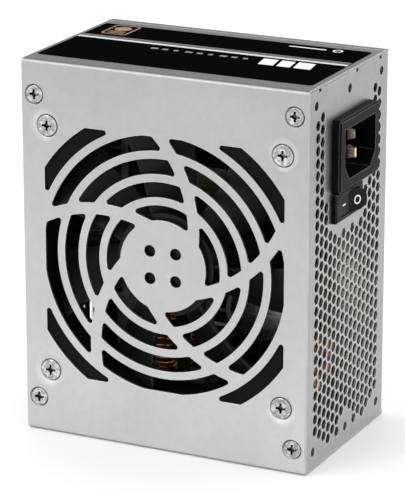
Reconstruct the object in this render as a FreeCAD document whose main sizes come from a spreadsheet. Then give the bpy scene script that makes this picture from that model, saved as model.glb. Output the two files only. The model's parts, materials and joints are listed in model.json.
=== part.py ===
import FreeCAD, Part

# Computer power supply unit of the small form factor: a folded steel case of 125 x 63.5 x 100 mm
# with a 92 mm fan, a mains inlet, a rocker switch and the converter board inside.
# Frame: +Z up along the long side, +X out of the rear panel (inlet side), -Y out of the fan face,
# origin at the middle of the bottom side.  All sizes are millimetres.

import math
import os
import re
import Sketcher

from types import SimpleNamespace

SIZES = {
    # case
    "case_depth": 100.0, "case_width": 63.5, "case_height": 125.0,
    "wall": 0.8, "bend_radius": 1.3, "lap_width": 3.7, "seam_gap": 0.1, "panel_gap": 0.25,
    "notch_width": 2.0, "notch_depth": 1.0, "notch_low_y": -23.2, "notch_mid_y": 5.7, "notch_high_y": 24.7,
    # rear mounting pattern
    "mount_spacing_y": 51.5, "mount_spacing_z": 113.0, "mount_hole_radius": 1.55,
    "collar_wall": 0.6, "collar_depth": 1.2,
    # honeycomb of the rear panel
    "vent_pitch": 4.0, "vent_flats": 3.25, "vent_low": 6.4, "vent_high": 115.2, "vent_mount_clear": 5.5,
    "vent_half_width": 25.0, "inlet_vent_margin": 3.2, "switch_vent_margin": 2.0, "band_half": 12.0,
    "band_drop": 5.0,
    # fan grille in the cover
    "grille_hub_radius": 15.1, "slot_pitch": 7.55, "slot_width": 5.0, "grille_half": 42.2,
    "spoke_width": 3.7, "spoke_centre_x": -34.3, "spoke_centre_z": 11.5, "spoke_arc_radius": 45.2,
    "slot_corner": 0.9, "hub_hole_radius": 2.0, "hub_hole_offset": 4.55,
    # case screws and fan screws, flat heads in pressed dimples
    "case_head_radius": 3.0, "case_halo_radius": 3.4, "case_halo_depth": 0.3, "case_cone_depth": 1.3,
    "case_thread_radius": 1.5, "case_screw_length": 4.2,
    "fan_head_radius": 3.5, "fan_halo_radius": 5.0, "fan_halo_depth": 0.4, "fan_cone_depth": 1.5,
    "fan_thread_radius": 2.1, "fan_screw_length": 9.0, "thread_clear": 0.05,
    "case_screw_rear_inset": 4.7, "case_screw_front_inset": 4.4, "case_screw_rear_top": 8.4,
    "case_screw_rear_low": 8.1, "case_screw_front_edge": 11.35, "tab_half": 4.6,
    "head_land": 0.3, "head_gap": 0.35,
    "drive_width": 0.85, "drive_length": 3.4, "drive_depth": 1.3, "drive_core": 0.95, "drive_point": 0.4,
    # fan
    "fan_size": 92.0, "fan_depth": 15.0, "fan_spacing": 82.5, "fan_bore_radius": 44.0,
    "fan_tube_wall": 1.5, "fan_flange": 3.0, "fan_corner": 4.0, "fan_post_radius": 4.6,
    "blade_tip_gap": 1.0, "blade_count": 7, "blade_thick": 1.3, "blade_root_pitch": 42.0,
    "blade_tip_pitch": 24.0, "blade_sweep": 7.0, "blade_edge_gap": 0.4, "blade_root": 3.0, "hub_radius": 17.0,
    "hub_front_gap": 1.2, "hub_wall": 1.5, "hub_depth": 11.0, "motor_base": 1.6,
    "motor_base_radius": 16.0, "strut_width": 4.0, "shaft_radius": 1.5, "running_gap": 0.03,
    "bearing_radius": 3.0, "bearing_tube_radius": 4.2, "bearing_length": 9.0, "bearing_cap": 0.6,
    "boss_gap": 0.3, "shaft_bite": 0.5, "shaft_end": 1.6,
    "magnet_thick": 1.4, "magnet_inset": 0.4, "stator_radius": 13.6, "stator_depth": 6.0,
    "stator_lift": 1.2, "stator_hub_wall": 2.0, "stator_rim": 1.6, "pole_width": 4.0, "pole_gap": 2.0,
    "coil_side": 1.0, "coil_end": 0.8, "coil_hub_gap": 0.2, "coil_rim_gap": 0.4, "fan_board_thick": 1.0,
    # mains inlet
    "inlet_fan_gap": 3.6, "inlet_z": 100.0, "inlet_width": 31.0, "inlet_height": 23.6, "inlet_lip": 3.3,
    "inlet_chamfer": 0.7, "inlet_body_width": 27.3, "inlet_body_height": 19.8, "inlet_depth": 18.0,
    "cavity_width": 24.6, "cavity_height": 16.6, "cavity_depth": 16.0, "cavity_cut_y": 4.0,
    "cavity_cut_z": 4.5, "cutout_gap": 0.1, "latch_length": 4.0, "latch_wide": 6.0, "latch_proud": 0.7,
    "latch_gap": 0.05, "pin_spacing": 14.0, "pin_offset": 2.0, "pin_wide": 4.0, "pin_thick": 2.0,
    "pin_recess": 4.95, "earth_ahead": 3.3, "pin_taper": 2.2, "pin_tip_wide": 2.9, "pin_tip_thick": 1.0,
    "tab_length": 7.0, "tab_thick": 0.8, "eye_radius": 0.7, "eye_inset": 2.0,
    # rocker switch
    "switch_fan_gap": 2.95, "switch_z": 83.0, "switch_width": 20.8, "switch_height": 9.5,
    "switch_lip": 2.0, "switch_body_width": 19.4, "switch_body_height": 8.9, "switch_depth": 14.0,
    "switch_chamfer": 0.4, "rocker_half": 8.4, "rocker_height": 7.0, "rocker_gap": 0.15,
    "rocker_valley": 1.6, "rocker_tilt": 10.0, "rocker_belly": 1.0, "rocker_drop": 2.6, "rocker_keel": 3.0,
    "pivot_radius": 1.0, "pivot_length": 0.4, "rocker_well": 5.5, "switch_tab_spacing": 8.0,
    "terminal_bite": 3.0,
    # converter board
    "board_gap": 4.0, "board_thick": 1.6, "board_front": 46.5, "board_rear": 45.5, "board_margin": 9.5,
    "standoff_radius": 2.6, "board_screw_radius": 1.45, "board_screw_head": 2.8, "board_head_height": 1.8,
    "board_screw_reach": 3.0, "board_slot_width": 0.8, "board_slot_end": 0.8,
    "board_hole_inset": 4.0, "film_thick": 0.4, "film_margin": 4.0, "film_gap": 0.3,
    # parts on the board
    "bulk_radius": 11.0, "bulk_length": 36.0, "bulk_x": 23.2, "bulk_z": 44.0,
    "output_radius": 5.0, "output_length": 25.0, "output_x": -39.0, "output_pitch": 12.0,
    "output_low_z": 48.0, "output_count": 4,
    "crimp_rise": 1.6, "crimp_width": 1.0, "crimp_depth": 0.4, "score_width": 0.5, "score_depth": 0.2,
    "core_x": -5.0, "core_z": 71.0, "core_width": 26.0, "core_height": 30.0, "core_rise": 29.0,
    "core_leg": 7.0, "core_thick": 11.0, "core_lift": 2.5, "core_gap": 0.1,
    "bobbin_gap": 0.2, "bobbin_inset": 2.0, "bobbin_foot": 2.2, "bobbin_corner": 2.0, "foot_inset": 1.0,
    "small_core_x": -6.0, "small_core_z": 101.0, "small_core_width": 17.0, "small_core_height": 16.0,
    "small_core_rise": 18.0, "small_core_leg": 4.0, "small_core_thick": 6.0,
    "line_choke_x": 32.0, "line_choke_z": 21.5, "line_choke_radius": 10.0, "line_choke_hole": 5.0,
    "line_choke_thick": 7.0, "output_choke_x": -18.0, "output_choke_z": 24.0,
    "output_choke_radius": 12.0, "output_choke_hole": 6.5, "output_choke_thick": 9.0,
    "wire_build": 1.8, "winding_parting": 4.0,
    "sink_plate": 2.5, "sink_rise": 34.0, "sink_fin": 5.0, "sink_fin_thick": 1.2, "sink_fin_pitch": 5.0,
    "sink_foot": 6.0,
    "primary_sink_x": 4.0, "primary_sink_low": 12.0, "primary_sink_high": 50.0,
    "secondary_sink_x": -26.5, "secondary_sink_low": 42.0, "secondary_sink_high": 96.0,
    "package_width": 10.0, "package_height": 15.5, "package_thick": 4.5, "package_leg": 12.0,
    "package_inset": 10.0, "package_pitch": 2.54, "package_lead_wide": 0.8, "package_lead_thick": 0.6,
    "grommet_radius": 10.0, "grommet_wall": 1.6, "grommet_lip": 1.8, "grommet_y": 4.0,
    "grommet_z": 100.0,
    "x_capacitor_x": 39.0, "x_capacitor_width": 8.0, "x_capacitor_rise": 15.0, "x_capacitor_length": 18.0,
    "x_capacitor_low_z": 48.0, "x_capacitor_high_z": 69.0, "x_capacitor_corner": 0.6,
    "y_disc_x": 43.4, "y_disc_z": 82.0, "y_disc_pitch": 10.0, "y_disc_radius": 3.5, "y_disc_thick": 2.8,
    "disc_x": 21.0, "varistor_z": 71.5, "thermistor_z": 85.0, "disc_radius": 5.0, "disc_thick": 4.4,
    "lead_wire_radius": 0.35, "lead_wire_rise": 2.0,
    "bridge_low_x": 11.5, "bridge_width": 22.0, "bridge_low_z": 60.0, "bridge_thick": 3.5,
    "bridge_rise": 21.0, "bridge_foot": 4.0, "bridge_pitch": 5.0, "bridge_lead_wide": 1.0,
    "bridge_lead_thick": 0.8,
    "fuse_x": 30.5, "fuse_low_z": 88.0, "fuse_length": 20.0, "fuse_radius": 2.6, "fuse_lift": 4.6,
    "clip_width": 7.0, "clip_length": 4.0, "clip_rise": 6.4, "clip_mouth": 3.6,
    "card_low_x": -44.0, "card_high_x": -20.0, "card_z": 106.0, "card_thick": 1.2, "card_rise": 20.0,
    "chip_x": -36.0, "chip_size": 8.0, "chip_thick": 2.2,
    "coupler_x": -4.0, "coupler_z": 89.4, "coupler_pitch": 8.0, "coupler_size": 4.6, "coupler_rise": 4.0,
    # leads and the fan's connector
    "lead_radius": 1.1, "lead_bend": 3.5, "lead_drop": 8.0, "lead_step": 3.0, "earth_drop": 5.0,
    "fan_lead_z": 113.0,
    "connector_size": 6.0, "connector_rise": 8.0, "fan_lead_start": 10.0,
    # slots of the front panel
    "front_slot_count": 7, "front_slot_pitch": 6.0, "front_slot_width": 2.5,
    "front_slot_low": 14.0, "front_slot_high": 44.0,
    # label on the top side
    "label_front": 48.5, "label_rear": 47.6, "label_fan_side": 24.3, "label_back_side": 23.6,
    "label_thick": 0.1, "label_corner": 1.2,
}

v = SimpleNamespace(**SIZES)

doc = FreeCAD.newDocument("power_supply_unit")
sheet = doc.addObject("Spreadsheet::Sheet", "Sizes")
for row, (alias, number) in enumerate(SIZES.items(), start=1):
    sheet.set(f"A{row}", alias)
    sheet.set(f"B{row}", str(number))
    sheet.setAlias(f"B{row}", alias)
doc.recompute()

# Places that many pieces share, as expressions over the sheet.
REAR = "case_depth/2"
FRONT = "-case_depth/2"
FAN_FACE = "-case_width/2"
BACK = "case_width/2"
MIDDLE = "case_height/2"
FAN_FRONT = f"{FAN_FACE} + wall"
FAN_BACK = f"{FAN_FRONT} + fan_depth"
MOTOR_FRONT = f"{FAN_BACK} - motor_base"
TUBE_FRONT = f"{MOTOR_FRONT} - bearing_length"
BOARD_BACK = f"{BACK} - wall - board_gap"
BOARD_TOP = f"{BOARD_BACK} - board_thick"
INLET_Y = f"({FAN_BACK} + inlet_fan_gap + inlet_body_width/2)"
SWITCH_Y = f"({FAN_BACK} + switch_fan_gap + switch_body_width/2)"

# The same places as numbers, for shapes made with Part's own functions.
rear = v.case_depth / 2
fan_face = -v.case_width / 2
back = v.case_width / 2
middle = v.case_height / 2
fan_front = fan_face + v.wall
fan_back = fan_front + v.fan_depth
board_top = back - v.wall - v.board_gap - v.board_thick
inlet_y = fan_back + v.inlet_fan_gap + v.inlet_body_width / 2
switch_y = fan_back + v.switch_fan_gap + v.switch_body_width / 2
rocker_rise = v.rocker_half * math.tan(math.radians(v.rocker_tilt))
rocker_end = math.hypot(v.rocker_half, v.rocker_valley + rocker_rise)

sub_parts = {}

X_TURN = FreeCAD.Rotation(FreeCAD.Vector(0, 1, 0), 90)
Y_TURN = FreeCAD.Rotation(FreeCAD.Vector(1, 0, 0), -90)
NO_TURN = FreeCAD.Rotation()
TURNS = {"X": X_TURN, "Y": Y_TURN, "Z": NO_TURN}


def expression(text):
    """Point every alias in the text at the sheet."""
    return re.sub(r"[a-z_]+", lambda word: f"Sizes.{word[0]}" if word[0] in SIZES else word[0], text)


def bind(obj, **texts):
    for prop, text in texts.items():
        obj.setExpression(prop, expression(text))


def place(obj, x, y, z):
    obj.setExpression(".Placement.Base.x", expression(x))
    obj.setExpression(".Placement.Base.y", expression(y))
    obj.setExpression(".Placement.Base.z", expression(z))


def named(obj, name):
    """Make an object a sub-part: its Label is the node's name."""
    obj.Label = name
    sub_parts[name] = obj
    return obj


def around(centre, half):
    """The (low, high) span of a half width about a centre."""
    return (f"{centre} - ({half})", f"{centre} + ({half})")


def box(x, y, z):
    """A box from (low, high) expressions along each axis."""
    obj = doc.addObject("Part::Box", "box")
    bind(obj, Length=f"({x[1]}) - ({x[0]})", Width=f"({y[1]}) - ({y[0]})", Height=f"({z[1]}) - ({z[0]})")
    place(obj, x[0], y[0], z[0])
    return obj


def block(centre, size):
    """A box from centre and size expressions."""
    return box(*(around(spot, f"({length})/2") for spot, length in zip(centre, size)))


def set_on_axis(obj, axis, centre, low):
    obj.Placement = FreeCAD.Placement(FreeCAD.Vector(), TURNS[axis])
    spots = list(centre)
    spots.insert("XYZ".index(axis), low)
    place(obj, *spots)


def cylinder(axis, centre, span, radius):
    """A cylinder along an axis; centre is its place on the other two axes in order."""
    obj = doc.addObject("Part::Cylinder", "cylinder")
    bind(obj, Radius=radius, Height=f"({span[1]}) - ({span[0]})")
    set_on_axis(obj, axis, centre, span[0])
    return obj


def cone(axis, centre, span, radii):
    obj = doc.addObject("Part::Cone", "cone")
    bind(obj, Radius1=radii[0], Radius2=radii[1], Height=f"({span[1]}) - ({span[0]})")
    set_on_axis(obj, axis, centre, span[0])
    return obj


def fuse(*objects):
    if len(objects) == 1:
        return objects[0]
    obj = doc.addObject("Part::MultiFuse", "fuse")
    obj.Shapes = list(objects)
    obj.Refine = True
    return obj


def group(*objects):
    """Separate solids kept together as one node."""
    obj = doc.addObject("Part::Compound", "group")
    obj.Links = list(objects)
    return obj


def cut(base, *tools):
    obj = doc.addObject("Part::Cut", "cut")
    obj.Base = base
    obj.Tool = tools[0] if len(tools) == 1 else fuse(*tools)
    return obj


def common(first, second):
    obj = doc.addObject("Part::Common", "common")
    obj.Base = first
    obj.Tool = second
    return obj


def ring(axis, centre, span, outer, inner):
    return cut(cylinder(axis, centre, span, outer), cylinder(axis, centre, span, inner))


def made(shape):
    """A shape from Part's own functions, where no primitive or boolean fits."""
    obj = doc.addObject("Part::Feature", "made")
    obj.Shape = shape
    return obj


def straight_edges(shape, test):
    """Numbers of the straight edges whose middle point and direction pass a test."""
    numbers = []
    for number, edge in enumerate(shape.Edges, start=1):
        if isinstance(edge.Curve, Part.Line):
            middle_point = edge.valueAt((edge.FirstParameter + edge.LastParameter) / 2)
            if test(middle_point, edge.tangentAt(edge.FirstParameter)):
                numbers.append(number)
    return numbers


def rounded(base, radius, test):
    """Round the straight edges of an object that pass a test."""
    doc.recompute()
    obj = doc.addObject("Part::Fillet", "rounded")
    obj.Base = base
    obj.Edges = [(number, radius, radius) for number in straight_edges(base.Shape, test)]
    return obj


def bevelled(base, size, test):
    """Chamfer the straight edges of an object that pass a test."""
    doc.recompute()
    obj = doc.addObject("Part::Chamfer", "bevelled")
    obj.Base = base
    obj.Edges = [(number, size, size) for number in straight_edges(base.Shape, test)]
    return obj


def along(axis):
    """A test for edges that run along an axis."""
    return lambda point, tangent: abs(getattr(tangent, axis)) > 0.99


def near(value, target):
    return abs(value - target) < 0.01


def plane(body, role):
    return next(item for item in body.Origin.OriginFeatures if item.Role == role)


def rectangle_sketch(body, role, name, low_u, high_u, low_v, high_v):
    """A rectangle sketch whose four sides are driven by expressions measured from the origin."""
    sketch = body.newObject("Sketcher::SketchObject", name)
    sketch.AttachmentSupport = [(plane(body, role), "")]
    sketch.MapMode = "FlatFace"
    corners = [FreeCAD.Vector(u, w, 0) for u, w in ((-1, -1), (1, -1), (1, 1), (-1, 1))]
    for number in range(4):
        sketch.addGeometry(Part.LineSegment(corners[number], corners[(number + 1) % 4]), False)
    for number in range(4):
        sketch.addConstraint(Sketcher.Constraint("Coincident", number, 2, (number + 1) % 4, 1))
    for number in (0, 2):
        sketch.addConstraint(Sketcher.Constraint("Horizontal", number))
        sketch.addConstraint(Sketcher.Constraint("Vertical", number + 1))
    sides = {"low_u": ("DistanceX", 0, 1, low_u), "low_v": ("DistanceY", 0, 1, low_v),
             "high_u": ("DistanceX", 1, 2, high_u), "high_v": ("DistanceY", 1, 2, high_v)}
    for side, (kind, line, end, text) in sides.items():
        index = sketch.addConstraint(Sketcher.Constraint(kind, -1, 1, line, end, 1.0))
        sketch.renameConstraint(index, side)
        sketch.setExpression(f"Constraints.{side}", expression(text))
    return sketch


def pad(body, sketch, length, both_ways=False):
    feature = body.newObject("PartDesign::Pad", "Pad")
    feature.Profile = sketch
    feature.Midplane = both_ways
    bind(feature, Length=length)
    return feature


def slab(name, role, u, w, length, both_ways=False):
    """A body with one rectangular pad."""
    body = doc.addObject("PartDesign::Body", name)
    pad(body, rectangle_sketch(body, role, "Outline", *u, *w), length, both_ways)
    doc.recompute()
    return body


def hollowed(body, role, u, w, both_ways=False):
    """Pocket a rectangle through the whole of a body."""
    before = body.Shape.Volume
    hollow = body.newObject("PartDesign::Pocket", "Inside")
    hollow.Profile = rectangle_sketch(body, role, "InsideOutline", *u, *w)
    hollow.Type = "ThroughAll"
    hollow.Midplane = both_ways
    hollow.Reversed = not both_ways
    doc.recompute()
    if body.Shape.Volume > before / 5:
        raise RuntimeError(f"{body.Name} was not hollowed")


def bent(body, radius, test):
    """Round the bends of a folded sheet, with a radius taken from the sheet of sizes."""
    folded = body.Tip
    bend = body.newObject("PartDesign::Fillet", "Bend")
    bend.Base = (folded, [f"Edge{number}" for number in straight_edges(body.Shape, test)])
    bind(bend, Radius=radius)
    doc.recompute()


# Screws in dimples

REAR_SCREW_X = f"{REAR} - case_screw_rear_inset"
FRONT_SCREW_X = f"{FRONT} + case_screw_front_inset"
CASE_SCREWS = (
    (REAR_SCREW_X, "case_height - case_screw_rear_top"),
    (REAR_SCREW_X, "case_screw_rear_low"),
    (FRONT_SCREW_X, "case_height - case_screw_front_edge"),
    (FRONT_SCREW_X, "case_screw_front_edge"),
)
FAN_SCREWS = tuple(
    (f"{x} * fan_spacing/2", f"{MIDDLE} + {z} * fan_spacing/2") for x in (-1, 1) for z in (-1, 1)
)


def dimple(kind, spot, face):
    """The boss that a pressed dimple adds behind a sheet, and the hollow it takes out of it."""
    halo = f"{kind}_halo_radius"
    mouth = f"{kind}_head_radius + head_gap"
    hole = f"{kind}_thread_radius + thread_clear"
    slope = f"{face} + {kind}_halo_depth"
    seat = f"{slope} + {kind}_cone_depth"
    boss = cone("Y", spot, (face, f"{seat} + wall"), (f"{halo} + wall", f"{hole} + wall"))
    hollow = fuse(
        cone("Y", spot, (face, slope), (halo, mouth)),
        cone("Y", spot, (slope, seat), (mouth, hole)),
        cylinder("Y", spot, (face, f"{seat} + 2*wall"), hole),
    )
    return boss, hollow


def screw(kind, spot):
    """A flat-head screw with a bevelled rim and a cross drive, its cone on the dimple's seat."""
    rim = f"{FAN_FACE} + {kind}_halo_depth"
    top = f"{rim} - head_land"
    seat = f"{rim} + {kind}_cone_depth"
    land = cone("Y", spot, (top, rim), (f"{kind}_head_radius - head_land", f"{kind}_head_radius"))
    head = cone("Y", spot, (rim, seat), (f"{kind}_head_radius", f"{kind}_thread_radius"))
    shank = cylinder("Y", spot, (rim, f"{rim} + {kind}_screw_length"), f"{kind}_thread_radius")
    depth = (top, f"{top} + drive_depth")
    wide = box(around(spot[0], "drive_length/2"), depth, around(spot[1], "drive_width/2"))
    tall = box(around(spot[0], "drive_width/2"), depth, around(spot[1], "drive_length/2"))
    core = cone("Y", spot, depth, ("drive_core", "drive_point"))
    return cut(fuse(land, head, shank), wide, tall, core)


def make_screws():
    named(group(*[screw("case", spot) for spot in CASE_SCREWS]), "case_screws")
    named(group(*[screw("fan", spot) for spot in FAN_SCREWS]), "fan_screws")


# Cover with the fan grille

def annulus(outer, inner):
    """A flat ring in the plane of the grille, about the fan's centre."""
    centre = FreeCAD.Vector(0, 0, middle)
    normal = FreeCAD.Vector(0, 1, 0)
    discs = [Part.Face(Part.Wire(Part.makeCircle(radius, centre, normal))) for radius in (outer, inner)]
    return discs[0].cut(discs[1])


def spoke_band():
    """The curved band of one grille spoke: part of a flat ring, on one side of its own middle line."""
    middle_x = v.spoke_centre_x
    middle_z = v.spoke_centre_z
    centre = FreeCAD.Vector(middle_x, 0, middle + middle_z)
    normal = FreeCAD.Vector(0, 1, 0)
    radii = (v.spoke_arc_radius + v.spoke_width / 2, v.spoke_arc_radius - v.spoke_width / 2)
    discs = [Part.Face(Part.Wire(Part.makeCircle(radius, centre, normal))) for radius in radii]
    away = FreeCAD.Vector(-middle_x, 0, -middle_z).normalize()
    side = FreeCAD.Vector(-away.z, 0, away.x)
    reach = 3 * v.grille_half
    corners = [centre, centre + away * reach, centre + (away + side) * reach, centre + side * reach, centre]
    return discs[0].cut(discs[1]).common(Part.Face(Part.makePolygon(corners)))


def grille_slots():
    """Concentric slots clipped to a square and parted by five curved spokes, with rounded corners."""
    half = v.grille_half
    axis = FreeCAD.Vector(0, 1, 0)
    signs = ((-1, -1), (1, -1), (1, 1), (-1, 1))
    outline = [FreeCAD.Vector(x * half, 0, middle + z * half) for x, z in signs]
    square = Part.Face(Part.makePolygon(outline + outline[:1]))
    starts = [v.grille_hub_radius + number * v.slot_pitch for number in range(5)]
    rings = [annulus(start + v.slot_width, start).common(square) for start in starts]
    spokes = []
    for number in range(5):
        spoke = spoke_band()
        spoke.rotate(FreeCAD.Vector(0, 0, middle), axis, 72 * number)
        spokes.append(spoke)
    inner = [one_ring.cut(Part.makeCompound(spokes)) for one_ring in rings[:4]]
    faces = [face for shape in inner + rings[4:] for face in shape.Faces]
    depth = 3 * v.wall
    slots = []
    for face in faces:
        slot = face.extrude(axis * depth)
        upright = [edge for edge in slot.Edges if near(edge.Length, depth)]
        slots.append(slot.makeFillet(v.slot_corner, upright))
    all_slots = Part.makeCompound(slots)
    all_slots.translate(FreeCAD.Vector(0, fan_face - v.wall, 0))
    return made(all_slots)


def make_cover():
    """U of sheet steel: the fan plate and the two sides, with the stamped grille."""
    side_end = f"{BACK} - lap_width - seam_gap"
    body = slab("CoverBody", "YZ_Plane", (FAN_FACE, side_end), ("0", "case_height"), "case_depth", True)
    hollowed(body, "YZ_Plane", (FAN_FRONT, f"{side_end} + wall"), ("wall", "case_height - wall"), True)
    for radius, inset in (("bend_radius", 0), ("bend_radius - wall", v.wall)):
        levels = (inset, v.case_height - inset)
        bent(body, radius, lambda point, tangent: abs(tangent.x) > 0.99 and near(point.y, fan_face + inset)
             and min(abs(point.z - level) for level in levels) < 0.01)
    dimples = [dimple("case", spot, FAN_FACE) for spot in CASE_SCREWS]
    dimples += [dimple("fan", spot, FAN_FACE) for spot in FAN_SCREWS]
    hub_holes = [
        cylinder("Y", (f"{x} * hub_hole_offset", f"{MIDDLE} + {z} * hub_hole_offset"),
                 (f"{FAN_FACE} - wall", f"{FAN_FACE} + 2*wall"), "hub_hole_radius")
        for x in (-1, 1) for z in (-1, 1)
    ]
    solid = fuse(body, *[boss for boss, _ in dimples])
    named(cut(cut(solid, *[hollow for _, hollow in dimples], *hub_holes), grille_slots()), "cover")


# Base shell with the rear panel

MOUNT_SIGNS = tuple((y, z) for y in (-1, 0, 1) for z in (-1, 1))
MOUNTS = tuple((f"{y} * mount_spacing_y/2", f"{MIDDLE} + {z} * mount_spacing_z/2") for y, z in MOUNT_SIGNS)


def vent_spots():
    """Centres of the honeycomb holes that stay clear of the inlet, the switch and the mounting holes."""
    column = v.vent_pitch * math.sqrt(3) / 2
    mounts = [(y * v.mount_spacing_y / 2, middle + z * v.mount_spacing_z / 2) for y, z in MOUNT_SIGNS]
    inlet_low = v.inlet_z - v.inlet_height / 2 - v.inlet_vent_margin
    switch_low = v.switch_z - v.switch_height / 2
    columns = int(v.vent_half_width // column)
    rows = int(v.case_height / 2 // v.vent_pitch)
    spots = []
    for i in range(-columns, columns + 1):
        y = i * column
        for k in range(-rows, rows + 1):
            z = middle + (k + (i % 2) / 2) * v.vent_pitch
            by_inlet = abs(y - inlet_y) < v.inlet_width / 2 + v.inlet_vent_margin and z > inlet_low
            by_switch = (abs(y - switch_y) < v.switch_width / 2 + v.switch_vent_margin
                         and z > switch_low - v.switch_vent_margin)
            in_band = abs(y) < v.band_half and z > switch_low - v.band_drop
            by_mount = min(math.hypot(y - my, z - mz) for my, mz in mounts) < v.vent_mount_clear
            if v.vent_low <= z <= v.vent_high and not (by_inlet or by_switch or in_band or by_mount):
                spots.append((y, z))
    return spots


def honeycomb():
    """Hexagonal holes, flat at top and bottom, as one cutting compound through the rear panel."""
    corner = v.vent_flats / math.sqrt(3)
    holes = []
    for y, z in vent_spots():
        corners = [
            FreeCAD.Vector(rear - 2 * v.wall, y + corner * math.cos(math.radians(60 * turn)),
                           z + corner * math.sin(math.radians(60 * turn)))
            for turn in range(7)
        ]
        holes.append(Part.Face(Part.makePolygon(corners)).extrude(FreeCAD.Vector(3 * v.wall, 0, 0)))
    return made(Part.makeCompound(holes))


def folded_back():
    """Back plate with the two lap strips that close over the cover's sides."""
    flat = (f"{FRONT} + bend_radius", f"{REAR} - bend_radius")
    plate = box(flat, (f"{BACK} - wall", BACK), ("0", "case_height"))
    strips = [
        box((FRONT, REAR), (f"{BACK} - lap_width", BACK), span)
        for span in (("0", "wall"), ("case_height - wall", "case_height"))
    ]
    return rounded(fuse(plate, *strips), v.bend_radius, lambda point, tangent: abs(tangent.x) > 0.99
                   and near(point.y, back) and (near(point.z, 0) or near(point.z, v.case_height)))


def screw_tabs():
    """Tabs behind the cover for the case screws, and the hollows of their dimples."""
    tabs = []
    hollows = []
    for spot in CASE_SCREWS:
        width = (f"{FRONT} + wall", f"{spot[0]} + tab_half")
        if spot[0] == REAR_SCREW_X:
            width = (f"{spot[0]} - tab_half", f"{REAR} - wall")
        tabs.append(box(width, (FAN_FRONT, f"{FAN_FRONT} + wall"), around(spot[1], "tab_half")))
        boss, hollow = dimple("case", spot, FAN_FRONT)
        tabs.append(boss)
        hollows.append(hollow)
        hollows.append(cone("Y", spot, (FAN_FACE, f"{FAN_FACE} + case_halo_depth + case_cone_depth + wall"),
                            ("case_halo_radius + wall", "case_thread_radius + thread_clear + wall")))
    return tabs, hollows


def rear_openings():
    """Tapped mounting holes, the cutouts of the inlet and the switch, and the notches along the top edge."""
    through = (f"{REAR} - 2*wall - collar_depth", f"{REAR} + wall")
    holes = [cylinder("X", spot, through, "mount_hole_radius") for spot in MOUNTS]
    inlet = block((REAR, INLET_Y, "inlet_z"),
                  ("4*wall", "inlet_body_width + 2*cutout_gap", "inlet_body_height + 2*cutout_gap"))
    switch = block((REAR, SWITCH_Y, "switch_z"),
                   ("4*wall", "switch_body_width + 2*cutout_gap", "switch_body_height + 2*cutout_gap"))
    notches = [
        block((REAR, y, "case_height - wall - panel_gap"), ("4*wall", "notch_width", "2*notch_depth"))
        for y in ("notch_low_y", "notch_mid_y", "notch_high_y")
    ]
    return [*holes, inlet, switch, *notches]


def front_openings():
    """The round cable outlet and the row of slots in the front panel."""
    depth = (f"{FRONT} - wall", f"{FRONT} + 2*wall")
    slots = []
    for number in range(int(v.front_slot_count)):
        y = f"({number} - (front_slot_count - 1)/2) * front_slot_pitch"
        slots.append(box(depth, around(y, "front_slot_width/2"), ("front_slot_low", "front_slot_high")))
    return [cylinder("X", ("grommet_y", "grommet_z"), depth, "grommet_radius"), *slots]


def make_base_shell():
    """U of sheet steel: back plate, rear panel and front panel, with screw tabs and lap strips."""
    height = "case_height - 2*wall - 2*panel_gap"
    body = slab("ShellBody", "XY_Plane", (FRONT, REAR), (FAN_FRONT, BACK), height)
    inside = (f"{FRONT} + wall", f"{REAR} - wall")
    hollowed(body, "XY_Plane", inside, (f"{FAN_FRONT} - wall", f"{BACK} - wall"))
    bent(body, "bend_radius", lambda point, tangent: abs(tangent.z) > 0.99 and near(point.y, back)
         and near(abs(point.x), rear))
    place(body, "0", "0", "wall + panel_gap")
    collar_span = (f"{REAR} - wall - collar_depth", f"{REAR} - wall")
    collars = [cylinder("X", spot, collar_span, "mount_hole_radius + collar_wall") for spot in MOUNTS]
    tabs, hollows = screw_tabs()
    shell = fuse(body, folded_back(), *collars, *tabs)
    trimmed = cut(shell, *hollows, *rear_openings(), *front_openings())
    named(cut(trimmed, honeycomb()), "base_shell")


def make_label():
    """Printed sticker on the top side."""
    sticker = box(("-label_front", "label_rear"), ("-label_fan_side", "label_back_side"),
                  ("case_height", "case_height + label_thick"))
    named(rounded(sticker, v.label_corner, along("z")), "label_sticker")


# Fan

def fan_shell():
    """Two square flanges joined by a round tube and four screw posts, with the air bore through them."""
    centre = ("0", MIDDLE)
    through = (f"{FAN_FRONT} - wall", f"{FAN_BACK} + wall")
    flanges = [
        rounded(box(around("0", "fan_size/2"), depth, around(MIDDLE, "fan_size/2")), v.fan_corner, along("y"))
        for depth in ((FAN_FRONT, f"{FAN_FRONT} + fan_flange"), (f"{FAN_BACK} - fan_flange", FAN_BACK))
    ]
    tube = cylinder("Y", centre, (FAN_FRONT, FAN_BACK), "fan_bore_radius + fan_tube_wall")
    posts = [cylinder("Y", spot, (FAN_FRONT, FAN_BACK), "fan_post_radius") for spot in FAN_SCREWS]
    bore = cylinder("Y", centre, through, "fan_bore_radius")
    holes = [cylinder("Y", spot, through, "fan_thread_radius + thread_clear") for spot in FAN_SCREWS]
    seats = [
        cone("Y", spot, (FAN_FACE, f"{FAN_FACE} + fan_halo_depth + fan_cone_depth + wall"),
             ("fan_halo_radius + wall", "fan_thread_radius + thread_clear + wall"))
        for spot in FAN_SCREWS
    ]
    return cut(fuse(*flanges, tube, *posts), bore, *holes, *seats)


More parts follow.
